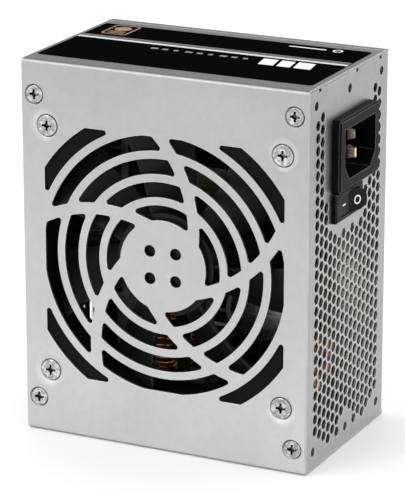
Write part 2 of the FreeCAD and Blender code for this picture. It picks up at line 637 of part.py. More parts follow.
def motor_mount():
    """Four struts to a round motor base, with the bearing tube that stands on it."""
    centre = ("0", MIDDLE)
    depth = (MOTOR_FRONT, FAN_BACK)
    reach = "fan_bore_radius + fan_tube_wall/2"
    base = cylinder("Y", centre, depth, "motor_base_radius")
    struts = [
        box(around("0", reach), depth, around(MIDDLE, "strut_width/2")),
        box(around("0", "strut_width/2"), depth, around(MIDDLE, reach)),
    ]
    tube = cylinder("Y", centre, (TUBE_FRONT, FAN_BACK), "bearing_tube_radius")
    hole = cylinder("Y", centre, (f"{TUBE_FRONT} - wall", f"{FAN_BACK} - bearing_cap"), "bearing_radius")
    return cut(fuse(base, *struts, tube), hole)


def make_fan_frame():
    named(fuse(fan_shell(), motor_mount()), "fan_frame")


def blade():
    """One swept and twisted blade, trimmed between the hub and the tip circle."""
    tip = v.fan_bore_radius - v.blade_tip_gap
    inner = v.hub_radius - v.blade_root
    reach = tip + v.blade_root - inner
    front = fan_front + v.hub_front_gap
    sections = []
    for share in (0.0, 0.5, 1.0):
        pitch = math.radians(v.blade_root_pitch + share * (v.blade_tip_pitch - v.blade_root_pitch))
        chord = (v.hub_depth - 3 * v.blade_edge_gap) / math.sin(pitch)
        run = FreeCAD.Vector(math.cos(pitch), math.sin(pitch), 0) * (chord / 2)
        out = FreeCAD.Vector(-math.sin(pitch), math.cos(pitch), 0) * (v.blade_thick / 2)
        sweep = v.blade_sweep * share ** 2
        spot = FreeCAD.Vector(-sweep, front + v.hub_depth / 2, middle + inner + share * reach)
        corners = [spot - run - out, spot + run - out, spot + run + out, spot - run + out]
        sections.append(Part.makePolygon(corners + corners[:1]))
    low = FreeCAD.Vector(0, front + v.blade_edge_gap, middle)
    depth = v.hub_depth - 2 * v.blade_edge_gap
    axis = FreeCAD.Vector(0, 1, 0)
    swept = Part.makeCylinder(tip, depth, low, axis)
    hub = Part.makeCylinder(v.hub_radius - v.hub_wall / 2, depth, low, axis)
    return Part.makeLoft(sections, True, False).common(swept.cut(hub))


def make_fan_rotor():
    """Moulded hub cup with its blades, the magnet ring in its cup and the shaft in its boss."""
    centre = ("0", MIDDLE)
    front = f"{FAN_FRONT} + hub_front_gap"
    inside = f"{front} + hub_wall"
    rim = f"{front} + hub_depth"
    cup = cylinder("Y", centre, (front, rim), "hub_radius")
    hollow = cylinder("Y", centre, (inside, f"{rim} + hub_wall"), "hub_radius - hub_wall")
    boss_span = (f"{inside} - hub_wall/2", f"{TUBE_FRONT} - boss_gap")
    boss = cylinder("Y", centre, boss_span, "bearing_tube_radius")
    shaft_span = (f"{inside} - shaft_bite", f"{FAN_BACK} - shaft_end")
    first = blade()
    blades = []
    for number in range(int(v.blade_count)):
        copy = first.copy()
        copy.rotate(FreeCAD.Vector(0, 0, middle), FreeCAD.Vector(0, 1, 0), 360.0 * number / v.blade_count)
        blades.append(copy)
    wheel = fuse(cut(cup, hollow), boss, made(Part.makeCompound(blades)))
    named(cut(wheel, cylinder("Y", centre, shaft_span, "shaft_radius")), "fan_rotor")
    named(ring("Y", centre, (f"{inside} + magnet_inset", f"{rim} - magnet_inset"), "hub_radius - hub_wall",
               "hub_radius - hub_wall - magnet_thick"), "fan_magnet_ring")
    named(cylinder("Y", centre, shaft_span, "shaft_radius"), "fan_shaft")
    named(ring("Y", centre, (TUBE_FRONT, f"{FAN_BACK} - bearing_cap"), "bearing_radius",
               "shaft_radius + running_gap"), "fan_bearing")


def pole_parting(turn):
    """A slot across the stator's rim, turned about the motor's axis."""
    length = 4 * v.stator_radius
    low = FreeCAD.Vector(-length / 2, fan_front, middle - v.pole_gap / 2)
    shape = Part.makeBox(length, v.fan_depth, v.pole_gap, low)
    shape.rotate(FreeCAD.Vector(0, 0, middle), FreeCAD.Vector(0, 1, 0), turn)
    return made(shape)


def coil(x, z, core_x, core_z, depth):
    """A winding round one pole: a box with the pole left out."""
    outside = box(x, (f"{depth[0]} - coil_end", f"{depth[1]} + coil_end"), z)
    return cut(outside, box(core_x, depth, core_z))


def make_fan_stator():
    """Four-pole laminated core on the bearing tube, a coil on each pole and the motor's board."""
    centre = ("0", MIDDLE)
    core_back = f"{MOTOR_FRONT} - fan_board_thick - stator_lift"
    depth = (f"{core_back} - stator_depth", core_back)
    pole = "pole_width/2"
    hub = cylinder("Y", centre, depth, "bearing_tube_radius + stator_hub_wall")
    arms = [
        box(around("0", "stator_radius"), depth, around(MIDDLE, pole)),
        box(around("0", pole), depth, around(MIDDLE, "stator_radius")),
    ]
    rim = ring("Y", centre, depth, "stator_radius", "stator_radius - stator_rim")
    shoes = cut(rim, pole_parting(45), pole_parting(135))
    whole = common(fuse(hub, *arms, shoes), cylinder("Y", centre, depth, "stator_radius"))
    tube_room = cylinder("Y", centre, (f"{depth[0]} - wall", f"{depth[1]} + wall"), "bearing_tube_radius")
    named(cut(whole, tube_room), "fan_stator_core")
    inner = "(bearing_tube_radius + stator_hub_wall + coil_hub_gap)"
    outer = "(stator_radius - stator_rim - coil_rim_gap)"
    wide = f"{pole} + coil_side"
    coils = []
    for low, high in ((inner, outer), (f"-{outer}", f"-{inner}")):
        level = (f"{MIDDLE} + {low}", f"{MIDDLE} + {high}")
        coils.append(coil((low, high), around(MIDDLE, wide), (low, high), around(MIDDLE, pole), depth))
        coils.append(coil(around("0", wide), level, around("0", pole), level, depth))
    named(group(*coils), "fan_windings")
    named(ring("Y", centre, (f"{MOTOR_FRONT} - fan_board_thick", MOTOR_FRONT), "stator_radius",
               "bearing_tube_radius"), "fan_board")


# Mains inlet and switch

def plug_cavity():
    """The space for the plug: a rectangle with its two lower corners cut, along X."""
    half_y = v.cavity_width / 2
    half_z = v.cavity_height / 2
    right = [(half_y, half_z), (half_y, -half_z + v.cavity_cut_z), (half_y - v.cavity_cut_y, -half_z)]
    left = [(-y, z) for y, z in reversed(right)]
    floor = rear + v.inlet_lip - v.cavity_depth
    corners = [FreeCAD.Vector(floor, inlet_y + y, v.inlet_z + z) for y, z in right + left + right[:1]]
    return made(Part.Face(Part.makePolygon(corners)).extrude(FreeCAD.Vector(2 * v.cavity_depth, 0, 0)))


def pin_tip(x, y, z):
    """Tapered end of a flat pin, towards +X."""
    obj = doc.addObject("Part::Wedge", "tip")
    bind(obj, Xmin="-pin_thick/2", Xmax="pin_thick/2", Zmin="-pin_wide/2", Zmax="pin_wide/2", Ymin="0",
         Ymax="pin_taper", X2min="-pin_tip_thick/2", X2max="pin_tip_thick/2", Z2min="-pin_tip_wide/2",
         Z2max="pin_tip_wide/2")
    obj.Placement = FreeCAD.Placement(FreeCAD.Vector(), FreeCAD.Rotation(FreeCAD.Vector(0, 0, 1), -90))
    place(obj, x, y, z)
    return obj


def make_inlet():
    """Snap-in three-pole appliance inlet with three flat pins that end in solder tabs."""
    face = f"{REAR} + inlet_lip"
    body_back = f"{REAR} - inlet_depth"
    bezel = block((f"{REAR} + inlet_lip/2", INLET_Y, "inlet_z"),
                  ("inlet_lip", "inlet_width", "inlet_height"))
    bezel = bevelled(bezel, v.inlet_chamfer, lambda point, tangent: near(point.x, rear + v.inlet_lip))
    bezel = rounded(bezel, 2 * v.inlet_chamfer, along("x"))
    body = box((body_back, REAR), around(INLET_Y, "inlet_body_width/2"),
               around("inlet_z", "inlet_body_height/2"))
    latches = box((f"{REAR} - wall - latch_length", f"{REAR} - wall - latch_gap"),
                  around(INLET_Y, "inlet_body_width/2 + latch_proud"), around("inlet_z", "latch_wide/2"))
    places = {
        "inlet_pin_line": (f"{INLET_Y} + pin_spacing/2", "inlet_z + pin_offset", f"{face} - pin_recess"),
        "inlet_pin_neutral": (f"{INLET_Y} - pin_spacing/2", "inlet_z + pin_offset", f"{face} - pin_recess"),
        "inlet_pin_earth": (INLET_Y, "inlet_z - pin_offset", f"{face} - pin_recess + earth_ahead"),
    }
    slots = []
    for name, (y, z, end) in places.items():
        blade_y = around(y, "pin_thick/2")
        blade_z = around(z, "pin_wide/2")
        pin = box((body_back, f"{end} - pin_taper"), blade_y, blade_z)
        tab = box((f"{body_back} - tab_length", body_back), around(y, "tab_thick/2"), blade_z)
        eye_spot = (f"{body_back} - tab_length + eye_inset", z)
        eye = cylinder("Y", eye_spot, around(y, "pin_thick"), "eye_radius")
        named(cut(fuse(pin, pin_tip(f"{end} - pin_taper", y, z), tab), eye), name)
        slots.append(box((f"{body_back} - wall", f"{face} - cavity_depth + wall"), blade_y, blade_z))
    named(cut(fuse(bezel, body, latches), plug_cavity(), *slots), "inlet_housing")


def rocker_body():
    """Rocker in its pressed pose: two faces that meet in a valley, and ends that are round in front view."""
    half = v.rocker_half
    radius = v.rocker_height / 2
    low_z = v.switch_z - radius
    right = [(v.rocker_valley, 0), (v.rocker_valley + rocker_rise, half), (-v.rocker_belly, half),
             (-v.rocker_drop, v.rocker_keel)]
    left = [(x, -y) for x, y in reversed(right)]
    corners = [FreeCAD.Vector(rear + x, switch_y + y, low_z) for x, y in right + left]
    prism = Part.Face(Part.makePolygon(corners)).extrude(FreeCAD.Vector(0, 0, v.rocker_height))
    start = rear - 2 * v.rocker_drop
    length = 2 * v.rocker_drop + 2 * rocker_rise + v.rocker_valley
    straight = half - radius
    middle_block = Part.makeBox(length, 2 * straight, v.rocker_height,
                                FreeCAD.Vector(start, switch_y - straight, low_z))
    ends = [
        Part.makeCylinder(radius, length, FreeCAD.Vector(start, switch_y + side * straight, v.switch_z),
                          FreeCAD.Vector(1, 0, 0))
        for side in (-1, 1)
    ]
    solid = prism.common(middle_block.fuse(ends))
    solid.rotate(FreeCAD.Vector(rear, switch_y, 0), FreeCAD.Vector(0, 0, 1), -v.rocker_tilt)
    return made(solid)


def rocker_well():
    """The hollow with round ends that the rocker swings in."""
    depth = (f"{REAR} - rocker_well", f"{REAR} + switch_lip + wall")
    radius = "(rocker_height/2 + rocker_gap)"
    straight = f"({rocker_end} - rocker_height/2)"
    ends = [
        cylinder("X", (f"{SWITCH_Y} + {side} * {straight}", "switch_z"), depth, radius) for side in (-1, 1)
    ]
    return fuse(box(depth, around(SWITCH_Y, straight), around("switch_z", radius)), *ends)


def make_switch():
    """Rocker switch: bezel and box, the rocker on two pivot stubs, and its two terminals."""
    body_back = f"{REAR} - switch_depth"
    bezel = block((f"{REAR} + switch_lip/2", SWITCH_Y, "switch_z"),
                  ("switch_lip", "switch_width", "switch_height"))
    bezel = bevelled(bezel, v.switch_chamfer, lambda point, tangent: near(point.x, rear + v.switch_lip))
    body = box((body_back, REAR), around(SWITCH_Y, "switch_body_width/2"),
               around("switch_z", "switch_body_height/2"))
    reach = "rocker_height/2 + rocker_gap + pivot_length"
    pivot = cylinder("Z", (REAR, SWITCH_Y), around("switch_z", reach), "pivot_radius")
    pivot_hole = cylinder("Z", (REAR, SWITCH_Y), around("switch_z", f"{reach} + running_gap"),
                          "pivot_radius + 2*running_gap")
    blade_z = around("switch_z", "pin_wide/2")
    tabs = []
    slots = []
    for side in (-1, 1):
        blade_y = around(f"{SWITCH_Y} + {side} * switch_tab_spacing/2", "tab_thick/2")
        tabs.append(box((f"{body_back} - tab_length", f"{body_back} + terminal_bite"), blade_y, blade_z))
        slots.append(box((f"{body_back} - wall", f"{body_back} + terminal_bite"), blade_y, blade_z))
    named(cut(fuse(bezel, body), rocker_well(), pivot_hole, *slots), "switch_housing")
    named(fuse(rocker_body(), pivot), "rocker")
    named(group(*tabs), "switch_terminals")


# Board and what stands on it

BOARD_LOW = "board_margin + board_hole_inset"
BOARD_HIGH = "case_height - board_margin - board_hole_inset"
BOARD_CORNERS = tuple(
    (x, z)
    for x in ("-board_front + board_hole_inset", "board_rear - board_hole_inset")
    for z in (BOARD_LOW, BOARD_HIGH)
)


def make_board():
    """Main board on four standoffs, with its screws and the insulating film behind it."""
    shell_face = f"{BACK} - wall"
    board = box(("-board_front", "board_rear"), (BOARD_TOP, BOARD_BACK),
                ("board_margin", "case_height - board_margin"))
    through = (f"{BOARD_TOP} - wall", shell_face)
    holes = [cylinder("Y", spot, through, "board_screw_radius + thread_clear") for spot in BOARD_CORNERS]
    named(cut(board, *holes), "main_board")
    film = box(("-board_front", "board_rear"), (f"{shell_face} - film_thick", shell_face),
               ("board_margin - film_margin", "case_height - board_margin + film_margin"))
    film_holes = [
        cylinder("Y", spot, (f"{shell_face} - 2*film_thick", BACK), "standoff_radius + film_gap")
        for spot in BOARD_CORNERS
    ]
    named(cut(film, *film_holes), "insulation_sheet")
    standoffs = [ring("Y", spot, (BOARD_BACK, shell_face), "standoff_radius", "board_screw_radius")
                 for spot in BOARD_CORNERS]
    named(group(*standoffs), "board_standoffs")
    screws = []
    for spot in BOARD_CORNERS:
        top = f"{BOARD_TOP} - board_head_height"
        head = cylinder("Y", spot, (top, BOARD_TOP), "board_screw_head")
        shank = cylinder("Y", spot, (top, f"{BOARD_BACK} + board_screw_reach"), "board_screw_radius")
        slot = block((spot[0], top, spot[1]),
                     ("2*(board_screw_head - board_slot_end)", "board_head_height", "board_slot_width"))
        screws.append(cut(fuse(head, shank), slot))
    named(group(*screws), "board_screws")


def transformer(prefix, name):
    """Paired E cores round a wound and taped bobbin that stands on the board."""
    x = f"{prefix}_x"
    z = f"{prefix}_z"
    low = f"{BOARD_TOP} - {prefix}_rise"
    high = f"{BOARD_TOP} - core_lift"
    window_y = (f"{low} + {prefix}_leg", f"{high} - {prefix}_leg")
    coil_y = (f"{window_y[0]} + bobbin_gap", f"{window_y[1]} - bobbin_gap")
    half_window = f"({prefix}_width/2 - {prefix}_leg)/2"
    window_places = [f"{x} + {side} * {prefix}_width/4" for side in (-1, 1)]
    outer = box(around(x, f"{prefix}_width/2"), (low, high), around(z, f"{prefix}_thick/2"))
    through = around(z, f"{prefix}_thick")
    windows = [box(around(spot, half_window), window_y, through) for spot in window_places]
    named(cut(outer, *windows), f"{name}_core")

    coil_half = f"({prefix}_width - {prefix}_leg)/2 - bobbin_gap"
    wound = rounded(box(around(x, coil_half), coil_y, around(z, f"{prefix}_height/2 - bobbin_inset")),
                    v.bobbin_corner, along("y"))
    foot_places = [f"{z} + {side} * ({prefix}_height - bobbin_foot)/2" for side in (-1, 1)]
    foot_width = around(x, f"{prefix}_width/2 - foot_inset")
    feet = [box(foot_width, (coil_y[0], BOARD_TOP), around(spot, "bobbin_foot/2")) for spot in foot_places]
    core_room = box(around(x, f"{prefix}_width"), (f"{low} - {prefix}_leg", f"{high} + core_gap"),
                    around(z, f"{prefix}_thick/2 + core_gap"))
    inside = [
        box(around(spot, f"{half_window} - bobbin_gap"), coil_y, around(z, f"{prefix}_thick/2 + foot_inset"))
        for spot in window_places
    ]
    named(fuse(cut(fuse(wound, *feet), core_room), *inside), f"{name}_winding")


def toroid(prefix, name):
    """Ring core standing on the board with two wound halves that rest on it."""
    x = f"{prefix}_x"
    z = f"{prefix}_z"
    y = f"{BOARD_TOP} - {prefix}_radius - wire_build"
    span = around(x, f"{prefix}_thick/2")
    named(ring("X", (y, z), span, f"{prefix}_radius", f"{prefix}_hole"), f"{name}_core")
    wound = ring("X", (y, z), around(x, f"{prefix}_thick/2 + wire_build"), f"{prefix}_radius + wire_build",
                 f"{prefix}_hole - wire_build")
    room = ring("X", (y, z), span, f"{prefix}_radius", f"{prefix}_hole")
    parting = block((x, y, z), (f"2*{prefix}_thick", f"4*{prefix}_radius", "winding_parting"))
    named(cut(wound, room, parting), f"{name}_winding")


def capacitor_can(x, z, radius, length):
    """Electrolytic can on the board, with a crimp groove near its foot and a scored top."""
    top = f"{BOARD_TOP} - {length}"
    crimp_top = f"{BOARD_TOP} - crimp_rise - crimp_width"
    can = cylinder("Y", (x, z), (top, BOARD_TOP), radius)
    crimp_span = (crimp_top, f"{crimp_top} + crimp_width")
    crimp = ring("Y", (x, z), crimp_span, f"2*{radius}", f"{radius} - crimp_depth")
    scores = [
        block((x, top, z), (f"1.2*{radius}", "2*score_depth", "score_width")),
        block((x, top, z), ("score_width", "2*score_depth", f"1.2*{radius}")),
    ]
    return cut(can, crimp, *scores)


def make_capacitors():
    named(capacitor_can("bulk_x", "bulk_z", "bulk_radius", "bulk_length"), "bulk_capacitor")
    for number in range(int(v.output_count)):
        z = f"output_low_z + {number} * output_pitch"
        can = capacitor_can("output_x", z, "output_radius", "output_length")
        named(can, f"output_capacitor_{number + 1}")
    for number, z in enumerate(("x_capacitor_low_z", "x_capacitor_high_z"), start=1):
        shell = box(around("x_capacitor_x", "x_capacitor_width/2"),
                    (f"{BOARD_TOP} - x_capacitor_rise", BOARD_TOP), around(z, "x_capacitor_length/2"))
        named(rounded(shell, v.x_capacitor_corner, lambda point, tangent: not near(point.y, board_top)),
              f"x_capacitor_{number}")
    y_disc_places = ("y_disc_z", "y_disc_z + y_disc_pitch")
    y_discs = [disc("y_disc_x", z, "y_disc_radius", "y_disc_thick/2") for z in y_disc_places]
    named(group(*y_discs), "y_capacitors")
    named(disc("disc_x", "varistor_z", "disc_radius", "disc_thick/2"), "varistor")
    named(disc("disc_x", "thermistor_z", "disc_radius", "disc_thick/2"), "thermistor")


def disc(x, z, radius, half):
    """Disc component that stands on two leads."""
    y = f"{BOARD_TOP} - {radius} - lead_wire_rise"
    body = cylinder("X", (y, z), around(x, half), radius)
    leads = [
        cylinder("Y", (x, f"{z} + {side} * {radius}/2"), (y, BOARD_TOP), "lead_wire_radius")
        for side in (-1, 1)
    ]
    return fuse(body, *leads)


def heatsink(prefix, name, direction):
    """Upright plate with a row of fins on one face."""
    x = f"{prefix}_x"
    top = f"{BOARD_TOP} - sink_rise"
    plate = box((x, f"{x} + sink_plate"), (top, BOARD_TOP), (f"{prefix}_low", f"{prefix}_high"))
    length = getattr(v, f"{prefix}_high") - getattr(v, f"{prefix}_low")
    count = int((length - v.sink_fin_thick) // v.sink_fin_pitch) + 1
    reach = (f"{x} + sink_plate", f"{x} + sink_plate + sink_fin") if direction > 0 else (f"{x} - sink_fin", x)
    fins = []
    for number in range(count):
        low = f"{prefix}_low + {number} * sink_fin_pitch"
        fins.append(box(reach, (top, f"{BOARD_TOP} - sink_foot"), (low, f"{low} + sink_fin_thick")))
    named(fuse(plate, *fins), name)


def package(x, face, z):
    """Three-lead power package against a heatsink plate; face is +1 when it lies on the +X side."""
    foot = f"{BOARD_TOP} - package_leg"
    span_x = (x, f"{x} + package_thick") if face > 0 else (f"{x} - package_thick", x)
    body = box(span_x, (f"{foot} - package_height", foot), around(z, "package_width/2"))
    leads = [
        box(around(f"{x} + {face} * package_thick * 0.6", "package_lead_thick/2"),
            (f"{foot} - package_lead_wide", BOARD_TOP),
            around(f"{z} + {step} * package_pitch", "package_lead_wide/2"))
        for step in (-1, 0, 1)
    ]
    return fuse(body, *leads)


def make_bridge():
    """Flat bridge rectifier that stands on four leads."""
    body = box(("bridge_low_x", "bridge_low_x + bridge_width"),
               (f"{BOARD_TOP} - bridge_rise", f"{BOARD_TOP} - bridge_foot"),
               ("bridge_low_z", "bridge_low_z + bridge_thick"))
    leads = []
    for number in range(4):
        x = f"bridge_low_x + bridge_width/2 + ({number} - 1.5) * bridge_pitch"
        leads.append(block((x, f"{BOARD_TOP} - bridge_foot/2", "bridge_low_z + bridge_thick/2"),
                           ("bridge_lead_wide", "bridge_foot", "bridge_lead_thick")))
    named(fuse(body, *leads), "bridge_rectifier")


def make_heatsinks():
    """The two heatsinks, each with two power packages clamped to its plain face."""
    heatsink("primary_sink", "primary_heatsink", 1)
    heatsink("secondary_sink", "secondary_heatsink", -1)
    ends = ("{0}_low + package_inset", "{0}_high - package_inset")
    transistors = [package("primary_sink_x", -1, end.format("primary_sink")) for end in ends]
    named(group(*transistors), "power_transistors")
    rectifiers = [package("secondary_sink_x + sink_plate", 1, end.format("secondary_sink")) for end in ends]
    named(group(*rectifiers), "output_rectifiers")


def make_fuse():
    """Glass fuse held in two clips."""
    fuse_y = f"{BOARD_TOP} - fuse_lift"
    length = ("fuse_low_z", "fuse_low_z + fuse_length")
    named(cylinder("Z", ("fuse_x", fuse_y), length, "fuse_radius"), "fuse")
    clips = []
    for z in ("fuse_low_z + clip_length/2", "fuse_low_z + fuse_length - clip_length/2"):
        clip = block(("fuse_x", f"{BOARD_TOP} - clip_rise/2", z), ("clip_width", "clip_rise", "clip_length"))
        hollow = cylinder("Z", ("fuse_x", fuse_y), around(z, "clip_length"), "fuse_radius")
        mouth = block(("fuse_x", f"{BOARD_TOP} - clip_rise", z),
                      ("clip_mouth", "clip_width/2", "2*clip_length"))
        clips.append(cut(clip, hollow, mouth))
    named(group(*clips), "fuse_clips")


def make_small_parts():
    """The upright supervisor board with its chip, and the small couplers."""
    card_y = (f"{BOARD_TOP} - card_rise", BOARD_TOP)
    named(box(("card_low_x", "card_high_x"), card_y, ("card_z", "card_z + card_thick")), "supervisor_board")
    named(block(("chip_x", f"{BOARD_TOP} - card_rise/2", "card_z + card_thick + chip_thick/2"),
                ("chip_size", "chip_size", "chip_thick")), "supervisor_chip")
    couplers = [
        block((f"coupler_x + {step} * coupler_pitch", f"{BOARD_TOP} - coupler_rise/2", "coupler_z"),
              ("coupler_size", "coupler_rise", "coupler_size"))
        for step in (-1, 0, 1)
    ]
    named(group(*couplers), "optocouplers")


def lead_tube(points, radius, bend):
    """A lead of straight runs joined by tangent arcs, with one bend radius."""
    spots = [FreeCAD.Vector(*point) for point in points]
    edges = []
    start = spots[0]
    for corner, after in zip(spots[1:-1], spots[2:]):
        inward = (start - corner).normalize()
        outward = (after - corner).normalize()
        half_turn = (math.pi - inward.getAngle(outward)) / 2
        trim = bend * math.tan(half_turn)
        first = corner + inward * trim
        last = corner + outward * trim
        middle_point = corner + (inward + outward).normalize() * (bend / math.cos(half_turn) - bend)
        edges.append(Part.LineSegment(start, first).toShape())
        edges.append(Part.Arc(first, middle_point, last).toShape())
        start = last
    edges.append(Part.LineSegment(start, spots[-1]).toShape())
    path = Part.Wire(edges)
    direction = (spots[1] - spots[0]).normalize()
    section = Part.Wire(Part.makeCircle(radius, spots[0], direction))
    return path.makePipeShell([section], True, False)


def make_leads():
    """Insulated leads: inlet to switch and board, switch to board, and the fan's motor to its connector."""
    inlet_end = rear - v.inlet_depth - v.tab_length
    switch_end = rear - v.switch_depth - v.tab_length
    pin_z = v.inlet_z + v.pin_offset
    earth_z = v.inlet_z - v.pin_offset
    line_y = inlet_y + v.pin_spacing / 2
    neutral_y = inlet_y - v.pin_spacing / 2
    near_tab = switch_y + v.switch_tab_spacing / 2
    far_tab = switch_y - v.switch_tab_spacing / 2
    turn = inlet_end - v.lead_drop
    deep_turn = turn - v.lead_step
    earth_turn = inlet_end - v.earth_drop
    motor_y = fan_back + v.lead_radius
    routes = {
        "line_lead": [(inlet_end, line_y, pin_z), (turn, line_y, pin_z), (turn, near_tab, v.switch_z),
                      (switch_end, near_tab, v.switch_z)],
        "neutral_lead": [(inlet_end, neutral_y, pin_z), (deep_turn, neutral_y, pin_z),
                         (deep_turn, board_top, pin_z)],
        "earth_lead": [(inlet_end, inlet_y, earth_z), (earth_turn, inlet_y, earth_z),
                       (earth_turn, board_top, earth_z)],
        "switched_lead": [(switch_end, far_tab, v.switch_z), (deep_turn, far_tab, v.switch_z),
                          (deep_turn, board_top, v.switch_z)],
        "fan_lead": [(0, motor_y, middle + v.fan_lead_start), (0, motor_y, v.fan_lead_z),
                     (0, board_top - v.connector_rise, v.fan_lead_z)],
    }
    for name, points in routes.items():
        named(made(lead_tube(points, v.lead_radius, v.lead_bend)), name)
    named(block(("0", f"{BOARD_TOP} - connector_rise/2", "fan_lead_z"),
                ("connector_size", "connector_rise", "connector_size")), "fan_connector")


def make_grommet():
    """Split rubber bush that lines the cable outlet in the front panel."""
    outer = f"{FRONT} - grommet_lip"
    inner = f"{FRONT} + wall + grommet_lip"
    spot = ("grommet_y", "grommet_z")
    neck = cylinder("X", spot, (outer, inner), "grommet_radius")
    lips = [
        cylinder("X", spot, (outer, FRONT), "grommet_radius + grommet_lip"),
        cylinder("X", spot, (f"{FRONT} + wall", inner), "grommet_radius + grommet_lip"),
    ]
    bore = cylinder("X", spot, (f"{outer} - wall", f"{inner} + wall"), "grommet_radius - grommet_wall")
    named(cut(fuse(neck, *lips), bore), "cable_grommet")


def check_and_write():
    """Stop on any failed object or sub-part, then write one STEP file per node."""
    doc.recompute()
    for obj in doc.Objects:
        if "Invalid" in obj.State or "Error" in obj.State:
            raise RuntimeError(f"{obj.Name} {obj.TypeId} failed: {obj.State}")
    for name, obj in sub_parts.items():
        if obj.Shape.isNull() or not obj.Shape.isValid() or not obj.Shape.Solids:
            raise RuntimeError(f"{name} has no valid solid")
    os.makedirs("parts", exist_ok=True)
    for name, obj in sub_parts.items():
        obj.Shape.exportStep(os.path.join("parts", f"{name}.step"))
    print(len(sub_parts), "nodes written")


make_cover()
make_base_shell()
make_label()
make_screws()
make_fan_frame()
make_fan_rotor()
make_fan_stator()
make_inlet()
make_switch()
make_board()
transformer("core", "main_transformer")
transformer("small_core", "standby_transformer")
toroid("line_choke", "line_choke")
toroid("output_choke", "output_choke")
make_capacitors()
make_heatsinks()
make_bridge()
make_fuse()
make_small_parts()
make_leads()
make_grommet()
check_and_write()
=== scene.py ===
"""Looks of the small form factor power supply: materials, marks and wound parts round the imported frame."""
import json
import math

import bpy
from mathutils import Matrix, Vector


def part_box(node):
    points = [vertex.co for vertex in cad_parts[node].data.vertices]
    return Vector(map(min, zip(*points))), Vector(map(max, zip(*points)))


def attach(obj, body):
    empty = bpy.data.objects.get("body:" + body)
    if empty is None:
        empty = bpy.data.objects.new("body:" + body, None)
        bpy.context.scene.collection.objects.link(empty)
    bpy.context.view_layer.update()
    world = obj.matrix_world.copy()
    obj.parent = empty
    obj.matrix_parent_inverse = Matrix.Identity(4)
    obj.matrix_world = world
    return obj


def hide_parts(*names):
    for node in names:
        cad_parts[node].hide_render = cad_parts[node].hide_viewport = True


MM = 0.001
# Painted highlight tone for the steel's sharp edges and the ring round each fan screw
PAINTED_HIGHLIGHT_TONE = (0.95, 0.95, 0.95)
HALO_INSET = 3.0 * MM
HALO_INNER = 3.4 * MM
HALO_OUTER = 5.6 * MM
MOUNT_MARGIN = 8.0 * MM

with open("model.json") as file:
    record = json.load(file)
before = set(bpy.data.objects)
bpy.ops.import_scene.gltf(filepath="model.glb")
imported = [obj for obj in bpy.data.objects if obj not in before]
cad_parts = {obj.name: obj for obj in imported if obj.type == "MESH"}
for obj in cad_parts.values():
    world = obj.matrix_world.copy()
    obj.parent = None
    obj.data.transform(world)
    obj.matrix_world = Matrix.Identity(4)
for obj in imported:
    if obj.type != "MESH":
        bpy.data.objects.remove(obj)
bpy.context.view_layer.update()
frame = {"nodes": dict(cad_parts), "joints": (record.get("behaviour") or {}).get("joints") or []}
nodes = frame["nodes"]
case_low, case_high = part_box("base_shell")
fan_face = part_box("cover")[0].y
fan_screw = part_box("fan_screws")[1] - Vector((HALO_INSET, 0.0, HALO_INSET))
case_top = case_high.z
rear_face = case_high.x


# Node materials

